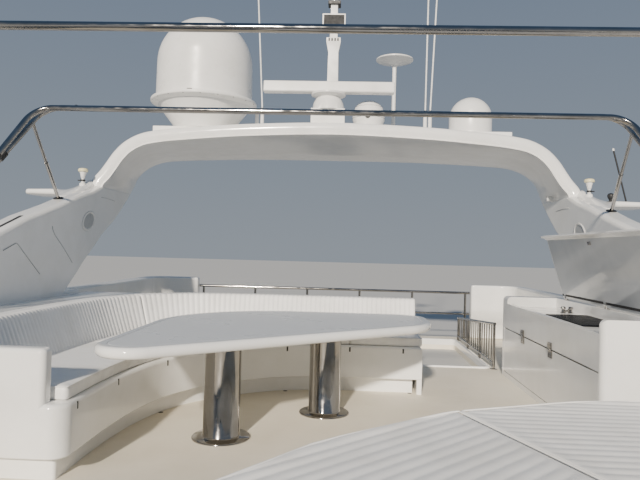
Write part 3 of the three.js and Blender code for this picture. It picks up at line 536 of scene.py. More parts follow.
# Fittings on the side coamings: panel joints, speakers, the slot along the top and one courtesy lamp
# columns: y and top z of the coaming's raked part, as in the solid
coamingTop = [(3400, 862), (3800, 1040), (4300, 1245), (4700, 1378), (5200, 1508), (5600, 1628),
              (5900, 1700)]
coaming = {"innerX": 2350, "joint": 7, "speaker": (5785, 1389), "speakerSize": (150, 90), "speakerTurn": 20,
           "slotX": 2424, "slot": (4060, 4700), "slotHalf": 15,
           "joints": [[(4330, 1102), (4500, 1158), (4520, 1154), (4870, 910)],
                      [(5060, 1310), (5072, 1278), (5110, 1236), (5275, 1128), (5458, 992)],
                      [(6071, 1644), (6200, 1646), (6430, 1634)]]}


for side, sign in (("starboard", -1), ("port", 1)):
    x = sign * coaming["innerX"]
    # the joints are drawn as grey beads: painted shade in the gaps between panels
    makePiece(f"coaming_joints_{side}",
              [beadShape([(x - sign * 0.6, y, z) for y, z in line], coaming["joint"])
               for line in coaming["joints"]], "painted_gap_shade", crease=180)
    y, z = coaming["speaker"]
    wide, high = coaming["speakerSize"]
    turn = math.radians(coaming["speakerTurn"])
    right = Vector((0, math.cos(turn), math.sin(turn))) * -sign  # so that out of the face is inboard
    up = Vector((0, -math.sin(turn), math.cos(turn)))

    def oval(profile, sides=72):
        points, faces = turnedShape(profile, 0, 0, sides)
        return [Vector((p.x * wide, p.y * high, p.z)) for p in points], faces
    makePiece(f"speaker_rim_{side}",
              [onFace(oval([(0.72, -2), (1, -2), (1, 3), (0.96, 7), (0.86, 8), (0.8, 5), (0.76, 1),
                            (0.72, -2)]), (x, y, z), right, up)], "painted_radome", crease=40)
    # a thin grey ring round the rim: painted shade of the groove round the speaker
    makePiece(f"speaker_gap_shade_{side}",
              [onFace(oval([(0.99, -2), (1.03, -2), (1.03, 1.2), (0.99, 1.2), (0.99, -2)]),
                      (x, y, z), right, up)], "painted_gap_shade", crease=40)
    # the grille's grey is partly painted shade of its recess
    makePiece(f"speaker_grille_{side}",
              [onFace(oval([(0, 4.5), (0.4, 4), (0.78, 2), (0.78, -1), (0, -1)]),
                      (x, y, z), right, up)], "pierced_grille", crease=40)
    y0, y1 = coaming["slot"]
    lanes = [[(sign * (coaming["slotX"] + a), yy, heightAt(coamingTop, yy) + h) for a, h in (
                 (-coaming["slotHalf"], -6), (coaming["slotHalf"], -6),
                 (coaming["slotHalf"], 1.2), (-coaming["slotHalf"], 1.2))]
             for yy in (y0, 4300, y1)]
    makePiece(f"coaming_slot_{side}", [loftShape(lanes)], "rubber_and_gap_shade", bevel=1, segments=2)
lamp = {"at": (2349, 6571, 1776), "right": (0, -1, 0), "up": (0, 0, 1)}  # on the port side only
makePiece("courtesy_lamp_body",
          [onFace(turnedShape([(0, -4), (34, -4), (34, 3), (30, 6), (29, 52), (26, 58), (0, 58)], 0, 0, 36),
                  lamp["at"], lamp["right"], lamp["up"])], "painted_radome", crease=40)
makePiece("courtesy_lamp_lens",
          [onFace(turnedShape([(0, 57), (23, 57), (21, 61), (10, 64), (0, 65)], 0, 0, 32),
                  lamp["at"], lamp["right"], lamp["up"])], "lamp_lens", crease=60)

# Radar arch: the same stations as the solid, carried on a smooth line
# columns: front edge's x and z, aft edge's x and z, front edge's y, aft edge's y
archStations = [
    (2356, 1690, 2345, 1690, 6080, 6835), (2350, 1775, 2345, 1775, 6110, 6940),
    (2290, 1850, 2355, 1850, 6130, 7060), (2225, 1950, 2355, 1950, 6145, 7175),
    (2165, 2040, 2315, 2045, 6150, 7260), (2080, 2125, 2215, 2130, 6150, 7315),
    (1960, 2190, 2070, 2180, 6150, 7335), (1800, 2225, 1860, 2200, 6150, 7335),
    (1540, 2255, 1560, 2215, 6150, 7335), (900, 2305, 900, 2235, 6150, 7330),
    (0, 2335, 0, 2240, 6150, 7330)]
arch = {"thick": 150, "seam": 1760, "lap": 50, "stepsAlong": 5, "stepsRound": 3}


def archShape():
    thick = arch["thick"]
    # columns: distance aft of the front edge, or ahead of the aft edge where negative, and height
    section = [(75, 0), (18, 26), (0, 78), (20, 132), (85, thick), (420, thick + 40), (-300, thick + 40),
               (-60, 120), (-2, 64), (-34, 6)]
    half = []
    for i, (frontX, frontZ, aftX, aftZ, frontY, aftY) in enumerate(archStations):
        low, high = archStations[max(0, i - 1)], archStations[min(len(archStations) - 1, i + 1)]
        out = Vector((high[1] - low[1], low[0] - high[0])).normalized()
        if i == len(archStations) - 1:
            out = Vector((0, 1))
        ring = []
        for step, height in section:
            y = (aftY if step < 0 else frontY) + step
            part = (y - frontY) / (aftY - frontY)
            ring.append(Vector((frontX + part * (aftX - frontX) + out.x * height, y,
                                frontZ + part * (aftZ - frontZ) + out.y * height)))
        half.append(ring)
    rings = half + [[Vector((-p.x, p.y, p.z)) for p in ring] for ring in reversed(half[:-1])]
    # between the stations
    lanes = [smoothLine([ring[k] for ring in rings], arch["stepsAlong"]) for k in range(len(section))]
    fine = []
    for r in range(len(lanes[0])):
        loop = [lane[r] for lane in lanes]
        wrapped = [loop[-2], loop[-1]] + loop + [loop[0], loop[1]]
        around = []
        for k in range(len(loop)):
            stretch = smoothLine(wrapped[k + 1:k + 5], arch["stepsRound"])
            flat = (loop[k] - loop[(k + 1) % len(loop)]).length > 200
            first, last = loop[k], loop[(k + 1) % len(loop)]
            for s in range(arch["stepsRound"]):
                around.append(first.lerp(last, s / arch["stepsRound"]) if flat
                              else stretch[arch["stepsRound"] + s])
        fine.append(around)
    return loftShape(fine)


archPiece = makePiece("arch_moulding", [archShape()], "moulded_gelcoat", ["radar_arch"], crease=60)
bm = bmesh.new()
bm.from_mesh(archPiece.data)
cutAt = place(0, 0, arch["seam"] - arch["lap"])
made = bmesh.ops.bisect_plane(bm, geom=bm.verts[:] + bm.edges[:] + bm.faces[:], dist=1e-5, plane_co=cutAt,
                              plane_no=(0, 0, -1), clear_outer=True)
bmesh.ops.holes_fill(bm, edges=[e for e in made["geom_cut"] if isinstance(e, bmesh.types.BMEdge)])
bmesh.ops.recalc_face_normals(bm, faces=bm.faces)
bm.to_mesh(archPiece.data)
bm.free()
print("arch lofted")

# Settee: the front line and the foot of the back cushions, round the corner
# columns: front x, front y, foot x, foot y
setteeStations = [
    (-1180, 2965.3, -1682, 2965.3), (-1180, 3400, -1682, 3400), (-1150, 3800, -1685, 3900),
    (-1075, 4140, -1670, 4400), (-950, 4410, -1620, 4780), (-780, 4620, -1490, 5090),
    (-560, 4800, -1270, 5300), (-300, 4940, -940, 5425), (-40, 4998, -420, 5465),
    (210, 5010, 210, 5470), (805, 5008, 805, 5465)]
settee = {"from": 2870, "to": 5780, "end": 805, "baseZ": 385, "seatZ": 455, "shelfZ": 705, "backZ": 742,
          "lean": 130, "thick": 120, "toeHigh": 120, "toeRecess": 70, "wall": -2362, "steps": 8,
          "edgeR": 26, "cornerR": 90}
frontLine = smoothLine([Vector(row[:2]) for row in setteeStations], settee["steps"])
footLine = smoothLine([Vector(row[2:]) for row in setteeStations], settee["steps"])


def arcSteps(count, first=0.0, last=90.0):
    return [math.radians(first + (last - first) * k / count) for k in range(count + 1)]


# The base's plan, drawn in all round but not where it meets the coaming
def setteePlan(inset, start):
    front = besideLine(frontLine, -inset)
    r = max(8, settee["cornerR"] - inset)
    x0, y0, end = front[0].x - r, start + r, settee["end"] - inset
    corner = [Vector((x0 + r * math.sin(a), y0 - r * math.cos(a))) for a in arcSteps(6)]
    front = [p for p in front if p.y > start + r and p.x < end - 1]
    return ([Vector((settee["wall"], start))] + corner + front
            + [Vector((end, front[-1].y)), Vector((end, settee["to"])),
               Vector((settee["wall"], settee["to"]))])


def setteeBody():
    r, top = settee["edgeR"], settee["baseZ"]
    rings = [(5, settee["toeHigh"]), (0, settee["toeHigh"] + 6)]
    rings += [(r - r * math.cos(a), top - r + r * math.sin(a)) for a in arcSteps(6)]
    loops = [setteePlan(inset, settee["from"] + inset) for inset, z in rings]
    return loftShape([ringAt(loop, z) for loop, (inset, z) in zip(loops, rings)])


shelfLine = besideLine(footLine, -settee["lean"] - settee["thick"] - 1)
shelfPlan = ([Vector((settee["wall"], shelfLine[0].y))] + shelfLine
             + [Vector((settee["end"], settee["to"])), Vector((settee["wall"], settee["to"]))])
toe = settee["toeRecess"]
makePiece("settee_base_moulding", [
    slabShape(setteePlan(toe, settee["from"] + toe), 0, settee["toeHigh"] + 1), setteeBody(),
    boxShape(settee["end"] - 40, 5014, 0, settee["end"] - 0.5, settee["to"] - 10, settee["toeHigh"] + 20)],
    "moulded_gelcoat", ["settee_base"], crease=32)
makePiece("settee_shelf_moulding", [slabShape(shelfPlan, settee["baseZ"] - 30, settee["shelfZ"])],
          "moulded_gelcoat", bevel=14, segments=4)
# The arm runs down over the base's rounded edge, so that the two read as one moulding
arm = {"inboard": -1285, "to": 2965, "low": 300, "top": 655, "r": 30}
armPlan = roundedOutline([(settee["wall"], settee["from"] - 0.6, 0),
                          (arm["inboard"], settee["from"] - 0.6, arm["r"]),
                          (arm["inboard"], arm["to"], arm["r"]), (settee["wall"], arm["to"], 0)])
makePiece("settee_arm_moulding", [loftShape([
    ringAt(offsetLoop(armPlan, inset), z) for inset, z in
    [(0, arm["low"])] + [(24 - 24 * math.cos(a), arm["top"] - 24 + 24 * math.sin(a))
                         for a in arcSteps(6)]])],
    "moulded_gelcoat", ["settee_arm"], crease=32)


def nearestFront(x, y):
    i = min(range(1, len(frontLine) - 1), key=lambda k: (frontLine[k] - Vector((x, y))).length)
    return frontLine[i], (frontLine[i + 1] - frontLine[i - 1]).normalized()


# Finger notches under the cushions, drains at the foot of the base, and the locker on its end
notches = [(-1190, 2963), (-1170, 3533), (-1100, 4189), (-319, 5020), (203, 5020), (688, 5020)]
fittings = []
for x, y in notches:
    spot, way = nearestFront(x, y)
    fittings.append(onFace(boxShape(-7, -19, -16, 7, 19, 1.2), (spot.x, spot.y, 352), (way.x, way.y, 0),
                           (0, 0, 1)))
makePiece("settee_notches", fittings, "moulded_asa", bevel=2, segments=2)
drains = [(-1112, 4211), (-313, 4982), (711, 5052)]
makePiece("settee_drains", [turnedShape([(0, 0.2), (17, 0.2), (17, 1.4), (14, 2.4), (0, 2.4)], x, y, 32)
                            for x, y in drains],
          "moulded_asa", crease=30)
endRight, endUp = (0, 1, 0), (0, 0, 1)
locker = {"from": 5090, "to": 5560, "low": 150, "high": 350, "r": 24, "pull": (5140, 300)}
makePiece("settee_locker_line", [
    onFace(hatchLine(locker["from"], locker["low"], locker["to"], locker["high"], locker["r"], 3),
           (settee["end"], 0, 0), endRight, endUp)], "rubber_and_gap_shade", crease=180)
pullAt = (settee["end"], *locker["pull"])
makePiece("settee_locker_ring", [
    onFace(turnedShape([(0, -2), (30, -2), (30, 1.5), (27, 3), (20, 3), (18, 1.6), (0, 1.6)], 0, 0, 40),
           pullAt, endRight, endUp),
    onFace(beadShape([(15 * math.cos(a), 15 * math.sin(a), 3) for a in arcSteps(24, 0, 345)], 4, 8, True),
           pullAt, endRight, endUp)], "polished_stainless", crease=40)

# Table: a bullnosed lacquered rim round a grey laminate panel
tableTop = {"corners": [(-1135, 2700, 200), (800, 4320, 500), (800, 5010, 260), (-1140, 5000, 930)],
            "top": 660, "thick": 60, "rimWide": 62, "groove": 4}
tableOutline = roundedOutline(tableTop["corners"], 3)
lowZ = tableTop["top"] - tableTop["thick"]


def tableRim():
    thick, top = tableTop["thick"], tableTop["top"]
    rings = [(tableTop["rimWide"] - 1, top - 6), (tableTop["rimWide"] - 1, top),
             (tableTop["rimWide"] - 8, top)]
    for k in range(13):
        a = math.pi / 2 - math.pi * k / 12
        rings.append((26 - 26 * math.cos(a), top - thick / 2 + thick / 2 * math.sin(a)))
    rings += [(70, lowZ), (90, lowZ + 4)]
    return loftShape([ringAt(offsetLoop(tableOutline, inset), z) for inset, z in rings])


makePiece("table_rim", [tableRim()], "lacquered_rim", ["table_top"], crease=50)
# the panel's light grey is partly painted shade of the flat top
makePiece("table_panel", [slabShape(offsetLoop(tableOutline, tableTop["rimWide"] + tableTop["groove"]),
                                    lowZ + 8, tableTop["top"] - 0.5)], "laminate", bevel=1.5, segments=2)

# Table legs: polished tube on a turned foot
leg = {"at": [("forward", -584, 3717), ("aft", 28, 4365)], "d": 225, "footD": 360}
for which, x, y in leg["at"]:
    r, foot = leg["d"] / 2, leg["footD"] / 2
    makePiece(f"table_leg_{which}_tube", [turnedShape([
        (0, 0.3), (foot, 0.3), (foot, 5), (foot - 2, 8.5), (foot - 8, 11.5), (r + 14, 14), (r + 5, 15.5),
        (r, 22), (r, lowZ - 26), (r + 3, lowZ - 19), (r + 14, lowZ - 14), (150, lowZ - 12),
        (150, lowZ - 0.3), (0, lowZ - 0.3)], x, y, 96)],
        "polished_stainless", [f"table_leg_{which}"], crease=50)
print("settee base and table made")

# Rails
stern = {"y": 8485, "half": 1890, "top": 620, "middle": 330, "postX": 1830,
         "posts": (-1, -0.6, -0.2, 0.2, 0.6, 1)}
rail = {"stairX": 1690, "stairFrom": 6250, "stairTo": 8190, "high": 460, "low": 300, "foot": 60, "bars": 18}
makePiece("stern_rail_tubes", [
    rodShape((-stern["half"], stern["y"], stern["top"]), (stern["half"], stern["y"], stern["top"]), 34, 24),
    rodShape((-stern["half"], stern["y"], stern["middle"]), (stern["half"], stern["y"], stern["middle"]),
             26, 20),
    *[rodShape((part * stern["postX"], stern["y"], 0.3),
               (part * stern["postX"], stern["y"], stern["top"] + 2), 32, 20)
      for part in stern["posts"]],
    *[shifted(turnedShape([(0, 0.3), (44, 0.3), (44, 4), (40, 7), (20, 9), (17, 16), (0, 16)], 0, 0, 32),
              part * stern["postX"], stern["y"]) for part in stern["posts"]]],
    "polished_stainless", ["stern_rail"])


def stairRail():
    def topZ(y):
        return (rail["high"] + (rail["low"] - rail["high"]) * (y - rail["stairFrom"])
                / (rail["stairTo"] - rail["stairFrom"]))
    x, y0, y1 = rail["stairX"], rail["stairFrom"], rail["stairTo"]
    shapes = [rodShape((x, y0 - 16, topZ(y0)), (x, y1 + 16, topZ(y1)), 32, 24),
              rodShape((x, y0, rail["foot"]), (x, y1, rail["foot"]), 22, 16)]
    for i in range(rail["bars"] + 1):
        y = y0 + (y1 - y0) * i / rail["bars"]
        post = i % 6 == 0  # each sixth bar is a stanchion that stands on the sole
        shapes.append(rodShape((x, y, 0.3 if post else rail["foot"]), (x, y, topZ(y)),
                               26 if post else 14, 16))
        if post:
            shapes.append(turnedShape([(0, 0.3), (38, 0.3), (38, 4), (34, 7), (0, 8)], x, y, 28))
    return shapes


makePiece("stair_rail_tubes", stairRail(), "polished_stainless", ["stair_rail"])

# Awning bows: bent tube with a pinned eye at each foot
# columns: name, body, half width at the hinge, half width at the top, hinge y, top y, top z
bows = [
    ("aft", "flybridge", 2460, 2005, 3370, 4200, 2128),
    ("middle", "awning_middle", 2405, 1985, 3335, 4030, 2087),
    ("forward", "awning_forward", 2460, 2050, 3300, 2600, 2125)]
awning = {"tube": 40, "hingeZ": 915, "bend": 170}


# A point on a bow's leg, part of the way from its hinge to its top
def bowPoint(bow, part, sign):
    wide, narrow, y0, y1, z1 = bow[2:]
    z0 = awning["hingeZ"]
    return Vector((sign * (wide + (narrow - wide) * part), y0 + (y1 - y0) * part, z0 + (z1 - z0) * part))


for bow in bows:
    name, body, wide, y0, z0 = bow[0], bow[1], bow[2], bow[4], awning["hingeZ"]
    shapes = [tubeShape([bowPoint(bow, 0.035, -1), (*bowPoint(bow, 1, -1), awning["bend"]),
                         (*bowPoint(bow, 1, 1), awning["bend"]), bowPoint(bow, 0.035, 1)],
                        awning["tube"], 28, 16)]
    for sign in (-1, 1):
        shapes += [rodShape((sign * wide, y0, z0), bowPoint(bow, 0.05, sign), 20, 16),
                   rodShape((sign * (wide - 14.5), y0, z0), (sign * (wide + 14.5), y0, z0), 38, 28),
                   rodShape(bowPoint(bow, 0.035, sign), bowPoint(bow, 0.08, sign), 44, 28)]
    makePiece(f"awning_bow_{name}_tube", shapes, "polished_stainless", [f"awning_bow_{name}"], body)
    clamps = [rodShape(bowPoint(bow, 0.66, sign), bowPoint(bow, 0.7, sign), 50, 24) for sign in (-1, 1)]
    if name == "aft":
        clamps.append(rodShape((-1786, bow[5], bow[6]), (-1772, bow[5], bow[6]), 46, 28))
    makePiece(f"awning_bow_{name}_clamps", clamps, "moulded_asa", [], body, bevel=2, segments=2, turn=60)
# at is how far up the aft bow's leg the strut meets it; rake is the coaming's slope under its foot
strut = {"foot": Vector((2480, 5420, 1574)), "at": 0.9, "d": 29, "flangeD": 88, "rake": 16.7}
for side, flip in bothSides:
    foot, head = strut["foot"], bowPoint(bows[0], strut["at"], 1)
    stay = (head - foot).normalized()
    top = head - stay * (awning["tube"] / 2 + 2.5)
    rake = math.radians(strut["rake"])
    flat = Vector((0, -math.sin(rake), math.cos(rake)))  # square to the coaming's top
    middle = foot.lerp(top, 0.55)
    shapes = [rodShape(foot + stay * 20, middle, strut["d"] + 2, 20),
              rodShape(middle, top, strut["d"] - 4, 20),
              rodShape(top - stay * 40, top, 27, 16)]
    dark = [rodShape(foot - flat * 12, foot + flat * 8, strut["flangeD"], 40),
            rodShape(foot, foot + stay * 46, 34, 20),
            rodShape(top - stay * 2, top + stay * 6, 30, 20)]
    makePiece(f"awning_strut_{side}_tube", [flip(s) for s in shapes], "polished_stainless",
              [f"awning_strut_{side}"])
    makePiece(f"awning_strut_{side}_foot", [flip(s) for s in dark], "moulded_asa", bevel=2, segments=2,
              turn=60)
print("rails and bows made")

# Domes and aerials
platformTop = 2462  # top of the plinths that the domes stand on


def domeArc(r, top, steps=16):
    return [(r * math.cos(math.pi / 2 * (i + 1) / steps) if i + 1 < steps else 0,
             top - r + r * math.sin(math.pi / 2 * (i + 1) / steps)) for i in range(steps)]


satcom = {"x": -1480, "y": 6750, "flangeR": 587.5, "shellR": 535, "flangeZ": 2780, "top": 3730, "bolts": 20}
flangeZ, flangeR, shellR = satcom["flangeZ"], satcom["flangeR"], satcom["shellR"]
makePiece("satcom_base_shell", [turnedShape([
    (0, platformTop + 0.3), (300, platformTop + 0.3), (312, platformTop + 6), (320, platformTop + 30),
    (shellR - 40, flangeZ - 62), (shellR - 25, flangeZ - 40), (flangeR - 4, flangeZ - 16),
    (flangeR, flangeZ - 10), (flangeR, flangeZ + 10), (flangeR - 4, flangeZ + 16),
    (shellR, flangeZ + 22), (0, flangeZ + 22)],
    satcom["x"], satcom["y"], 96)], "painted_radome", ["satcom_base"], crease=34)
shell = shellR * 0.985
makePiece("satcom_dome_shell", [turnedShape([
    (0, flangeZ + 22.3), (shellR, flangeZ + 22.3), (shellR, flangeZ + 34), (shellR - 3, flangeZ + 38),
    (shell, satcom["top"] - shellR)] + domeArc(shell, satcom["top"]), satcom["x"], satcom["y"], 96)],
    "painted_radome", ["satcom_dome"], crease=34)
boltR, bolts = flangeR - 16, []
for k in range(satcom["bolts"]):
    a = 2 * math.pi * (k + 0.5) / satcom["bolts"]
    bolts.append(turnedShape([(0, flangeZ - 20), (11, flangeZ - 20), (11, flangeZ - 10), (0, flangeZ - 10)],
                             satcom["x"] + boltR * math.cos(a), satcom["y"] + boltR * math.sin(a), 6))
makePiece("satcom_bolts", bolts, "polished_stainless", crease=30)
makePiece("satcom_latch", [boxShape(satcom["x"] - 60, satcom["y"] - shellR - 9, flangeZ + 20,
                                    satcom["x"] - 5, satcom["y"] - shellR + 20, flangeZ + 36)],
          "moulded_asa", bevel=3)
tvDome = {"x": 1500, "y": 6750, "r": 232, "top": 2892}
r = tvDome["r"]
makePiece("tv_dome_shell", [turnedShape([
    (0, platformTop + 0.3), (r, platformTop + 0.3), (r + 4, platformTop + 6), (r + 4, platformTop + 34),
    (r, platformTop + 40), (r, tvDome["top"] - r)] + domeArc(r, tvDome["top"]),
    tvDome["x"], tvDome["y"], 72)], "painted_radome", ["tv_dome"], crease=34)
housing = {"x": 370, "y": 6600}
makePiece("camera_housing_shell", [turnedShape([
    (0, 2440), (150, 2440), (160, 2553), (172, 2585), (176, 2608), (174, 2640), (168, 2669), (147, 2730),
    (120, 2764), (88, 2788), (50, 2801), (0, 2804)], housing["x"], housing["y"], 64)],
    "painted_radome", ["camera_housing"], crease=30)
cameraEye = Vector((housing["x"] - 15, housing["y"] - 173, 2612))
makePiece("camera_eye", [
    onFace(turnedShape([(0, -20), (30, -20), (30, 5), (26, 9), (20, 9), (19, 4), (0, 4)], 0, 0, 36),
           cameraEye, (1, 0, 0), (0, 0, 1))], "moulded_asa", crease=30)
makePiece("camera_eye_lens", [
    onFace(turnedShape([(0, 9), (8, 8), (14, 6.5), (18, 4), (18, 0), (0, 0)], 0, 0, 36),
           cameraEye, (1, 0, 0), (0, 0, 1))], "screen_glass", crease=60)
makePiece("camera_seams", [
    beadShape([(housing["x"] + r * math.cos(a), housing["y"] + r * math.sin(a), z)
               for a in arcSteps(60, 0, 354)], 3, 6, True)
    for r, z in ((175.4, 2605), (147.5, 2729))], "rubber_and_gap_shade", crease=180)
disc = {"x": 660, "y": 6900, "z": 3352, "r": 210}
makePiece("disc_aerial_shell", [
    rodShape((disc["x"], disc["y"], 2440), (disc["x"], disc["y"], disc["z"] - 60), 44, 24),
    shifted(turnedShape([(0, -96), (24, -96), (28, -80), (36, -62), (70, -44), (120, -30),
                         (disc["r"] - 4, -9), (disc["r"], -5), (disc["r"], 5), (disc["r"] - 6, 10),
                         (120, 26), (60, 31), (0, 32)], 0, 0, 72),
            disc["x"], disc["y"], disc["z"])], "painted_radome", ["disc_aerial"], crease=40)
# poles: x, lean to port, top; the short one is an empty foot
whip = {"y": 6900, "block": 120, "blockLow": 2395, "blockTop": 2540,
        "poles": {"starboard": [(-840, -134, 4900), (-900, 0, 2762)],
                  "port": [(1020, 12, 4900), (1075, 78, 4900)]}}
for side, poles in whip["poles"].items():
    y, half = whip["y"], whip["block"] / 2
    xs = [p[0] for p in poles]
    shapes = [boxShape(min(xs) - half, y - half, whip["blockLow"], max(xs) + half, y + half,
                       whip["blockTop"])]
    for x, lean, top in poles:
        shapes += [rodShape((x, y, 2440), (x, y, 2755), 42, 24),
                   rodShape((x, y, 2735), (x + lean, y, top), 18, 12)]
    makePiece(f"whip_{side}_ferrules",
              [turnedShape([(0, 2738), (23, 2738), (23, 2766), (16, 2780), (0, 2780)], x, y, 24)
               for x, lean, top in poles if top > 2800], "moulded_asa", crease=40)
    makePiece(f"whip_{side}_poles", shapes, "fibreglass_rod", [f"whip_{side}"], bevel=3, segments=2,
              turn=50)
radar = {"x": -66, "y": 6380, "z": 2825, "half": 690, "high": 122}
makePiece("radar_scanner_bar", [
    loftShape([[(radar["x"] + end * radar["half"], radar["y"] + y, radar["z"] + z) for y, z in (
                   (-55, 12), (-41, 0), (41, 0), (55, 12), (37, radar["high"]), (-37, radar["high"]))]
               for end in (-1, 1)]),
    shifted(turnedShape([(0, -5.5), (40, -5.5), (40, 20), (0, 20)], 0, 0, 32), radar["x"], radar["y"],
            radar["z"])],
    "painted_radome", ["radar_scanner"], "radar_scanner", bevel=9)
# a black ring under the scanner: painted shade in the gap between scanner and pedestal
makePiece("radar_head_gap_shade", [
    turnedShape([(r, radar["z"] + h) for r, h in ((0, -30), (118, -30), (118, -22), (0, -22))],
                radar["x"], radar["y"], 48)], "rubber_and_gap_shade", crease=50)
# Mast head: slots in the capital, the bare plate's dark face, and the all-round lamp
mast = {"x": -50, "y": 7210, "plate": (3817, 3975), "plateFront": 75, "slots": (-52, -18, 18, 52)}
x, y = mast["x"], mast["y"]
low, high = mast["plate"]
face = y - mast["plateFront"]
makePiece("mast_slots", [boxShape(x + dx - 9, y - 77, 3646, x + dx + 9, y - 60, 3682)
                         for dx in mast["slots"]], "rubber_and_gap_shade", bevel=1)
makePiece("mast_plate_face", [boxShape(x - 123, face - 1.5, low + 14, x + 123, face + 8, high - 14)],
          "rubber_and_gap_shade", bevel=2)
makePiece("mast_head_box", [boxShape(x - 75, y - 69, 4092, x + 75, y + 69, 4136)], "moulded_asa", bevel=6)
makePiece("mast_lamp_lens", [turnedShape([(0, 4130), (47.5, 4130), (47.5, 4190), (0, 4190)], x, y, 40)],
          "lamp_lens", crease=50)
makePiece("mast_lamp_cap", [
    turnedShape([(0, 4189), (49, 4189), (49, 4196), (40, 4222), (20, 4228), (0, 4229)], x, y, 40)],
    "moulded_asa", crease=50)
print("aerials made")

# Wings and what stands on them
# columns: x, front edge's y, its foot's and top's z, then the top's z at the aerial and
# beside the arch, as in the solid
fairing = [(2440, 5612, 1582, 1626, 1730, 1774), (2470, 5550, 1580, 1622, 1758, 1815),
           (2500, 5485, 1570, 1606, 1766, 1830), (2560, 5560, 1560, 1628, 1745, 1790),
           (2680, 5790, 1640, 1701, 1701, 1701)]
wing = {"low": 1632, "high": 1702, "root": 2440, "tip": 3060, "tipThin": 22}
wingOutline = roundedOutline([(wing["root"], 5760, 0), (wing["tip"] - 60, 5800, 70),
                              (wing["tip"], 5960, 90), (wing["tip"] - 20, 6180, 90),
                              (wing["root"], 6640, 0)])


# Where a straight row, at a distance across, enters and leaves an outline
def rowEnds(outline, way, across, distance):
    hits = []
    for p, q in zip(outline, outline[1:] + outline[:1]):
        dp, dq = p.dot(across) - distance, q.dot(across) - distance
        if dp * dq < 0 or dp == 0:
            hits.append(p.lerp(q, dp / (dp - dq) if dp != dq else 0).dot(way))
    return (min(hits), max(hits)) if len(hits) > 1 else None


def wingShape():
    rings = []
    first, last = fairing[0][0], max(p.x for p in wingOutline) - 0.3
    xs = [first + (last - 90 - first) * k / 30 for k in range(31)]
    for x in xs + [last - 90 * (1 - math.sin(a)) for a in arcSteps(10, 8, 89)]:
        front, aft = rowEnds(wingOutline, Vector((0, 1)), Vector((1, 0)), max(x, wing["root"] + 1))
        thin = wing["tipThin"] * (1 - math.sqrt(max(0, 1 - max(0, (x - last + 36) / 36) ** 2)))
        taper = max(0, x - wing["root"]) / (wing["tip"] - wing["root"])
        low, high = wing["low"] + 14 * taper + thin, wing["high"] - 10 * taper - thin
        foot, lip, middle, top = low, high, high, high
        for a, b in zip(fairing, fairing[1:]):
            if a[0] <= x < b[0]:
                edge, foot, lip, middle, top = [p + (q - p) * (x - a[0]) / (b[0] - a[0])
                                                for p, q in zip(a[1:], b[1:])]
                front = min(front, edge)
        r, nose = (high - low) / 2, (lip - foot) / 2
        ring = [(x, aft - r + r * math.sin(a), low + r - r * math.cos(a)) for a in arcSteps(6, 0, 90)][::-1]
        ring += [(x, front + nose - nose * math.sin(a), foot + nose - nose * math.cos(a))
                 for a in arcSteps(12, 0, 180)]
        line = [(front + nose, lip), (5985, middle), (6110, top), (6450, top), (aft - r, high)]
        for k in range(1, 33):
            y = front + nose + (aft - r - front - nose) * k / 33
            ring.append((x, y, heightAt(line, y)))
        ring += [(x, aft - r + r * math.sin(a), low + r - r * math.cos(a)) for a in arcSteps(6, 180, 96)]
        rings.append(ring)
    return loftShape(rings)


gps = {"x": 2509, "y": 5985, "z": 1764}
for side, flip in bothSides:
    makePiece(f"wing_{side}_plank", [flip(wingShape())], "moulded_gelcoat", [f"wing_{side}"], crease=50)
    cap = shifted(turnedShape([(0, 128), (43, 128), (47.5, 132), (48, 140), (46, 150), (40, 158), (26, 162),
                               (0, 163)], 0, 0, 48), gps["x"], gps["y"], gps["z"])
    stem = shifted(turnedShape([(0, -30), (32, -30), (32, 6), (26, 12), (15, 20), (14, 62), (20, 68),
                                (24, 92), (32, 120), (34, 129), (0, 129)], 0, 0, 48),
                   gps["x"], gps["y"], gps["z"])
    clampAt = gps["z"] + 32
    clamp = [shifted(turnedShape([(0, 0), (24, 0), (24, 16), (0, 16)], 0, 0, 24),
                     gps["x"], gps["y"], clampAt),
             rodShape((gps["x"] + 20, gps["y"], clampAt + 8), (gps["x"] + 50, gps["y"], clampAt + 8),
                      12, 12)]
    makePiece(f"gps_stem_{side}", [flip(stem)], "painted_radome")
    makePiece(f"gps_cap_{side}", [flip(cap)], "yellowed_cap")
    makePiece(f"gps_clamp_{side}", [flip(s) for s in clamp], "moulded_asa", crease=50)
horn = {"x": 2723, "y": 6000, "footX": (2680, 2900), "footHalf": 35, "rodFoot": (2872, 4),
        "rodTip": (2736, 525)}
wingTop = wing["high"]
makePiece("signal_horn_body", [
    shifted(turnedShape([(0, 0), (16, 0), (16, 22), (19, 30), (26, 40), (32, 54), (33, 66), (30, 76),
                         (24, 84), (12, 90), (0, 92)], 0, 0, 40), horn["x"], horn["y"], wingTop + 0.3),
    rodShape(*[(x, horn["y"], wingTop + z) for x, z in (horn["rodFoot"], horn["rodTip"])], 16, 12),
    boxShape(horn["footX"][0], horn["y"] - horn["footHalf"], wingTop - 3,
             horn["footX"][1], horn["y"] + horn["footHalf"], wingTop + 8)],
    "moulded_asa", ["signal_horn"], crease=40)
makePiece("signal_horn_tip", [rodShape((2741.2, horn["y"], wingTop + 505),
                                       (2735.5, horn["y"], wingTop + 527), 20, 16)], "painted_radome")

# Wet bar: hob, lid and door
hob = {"x": (1800, 2135), "y": (4300, 5030), "low": 680.3, "top": 692}
makePiece("hob_glass", [boxShape(hob["x"][0], hob["y"][0], hob["low"],
                                 hob["x"][1], hob["y"][1], hob["top"])],
          "ceramic_glass", ["hob"], bevel=2)
# the lid's grey is painted shade: the lid is white gelcoat in shade
moulded("bar_lid", "grey_and_painted_shade_gelcoat", 5, body="bar_lid")
moulded("bar_door", "moulded_gelcoat", 4, body="bar_door")
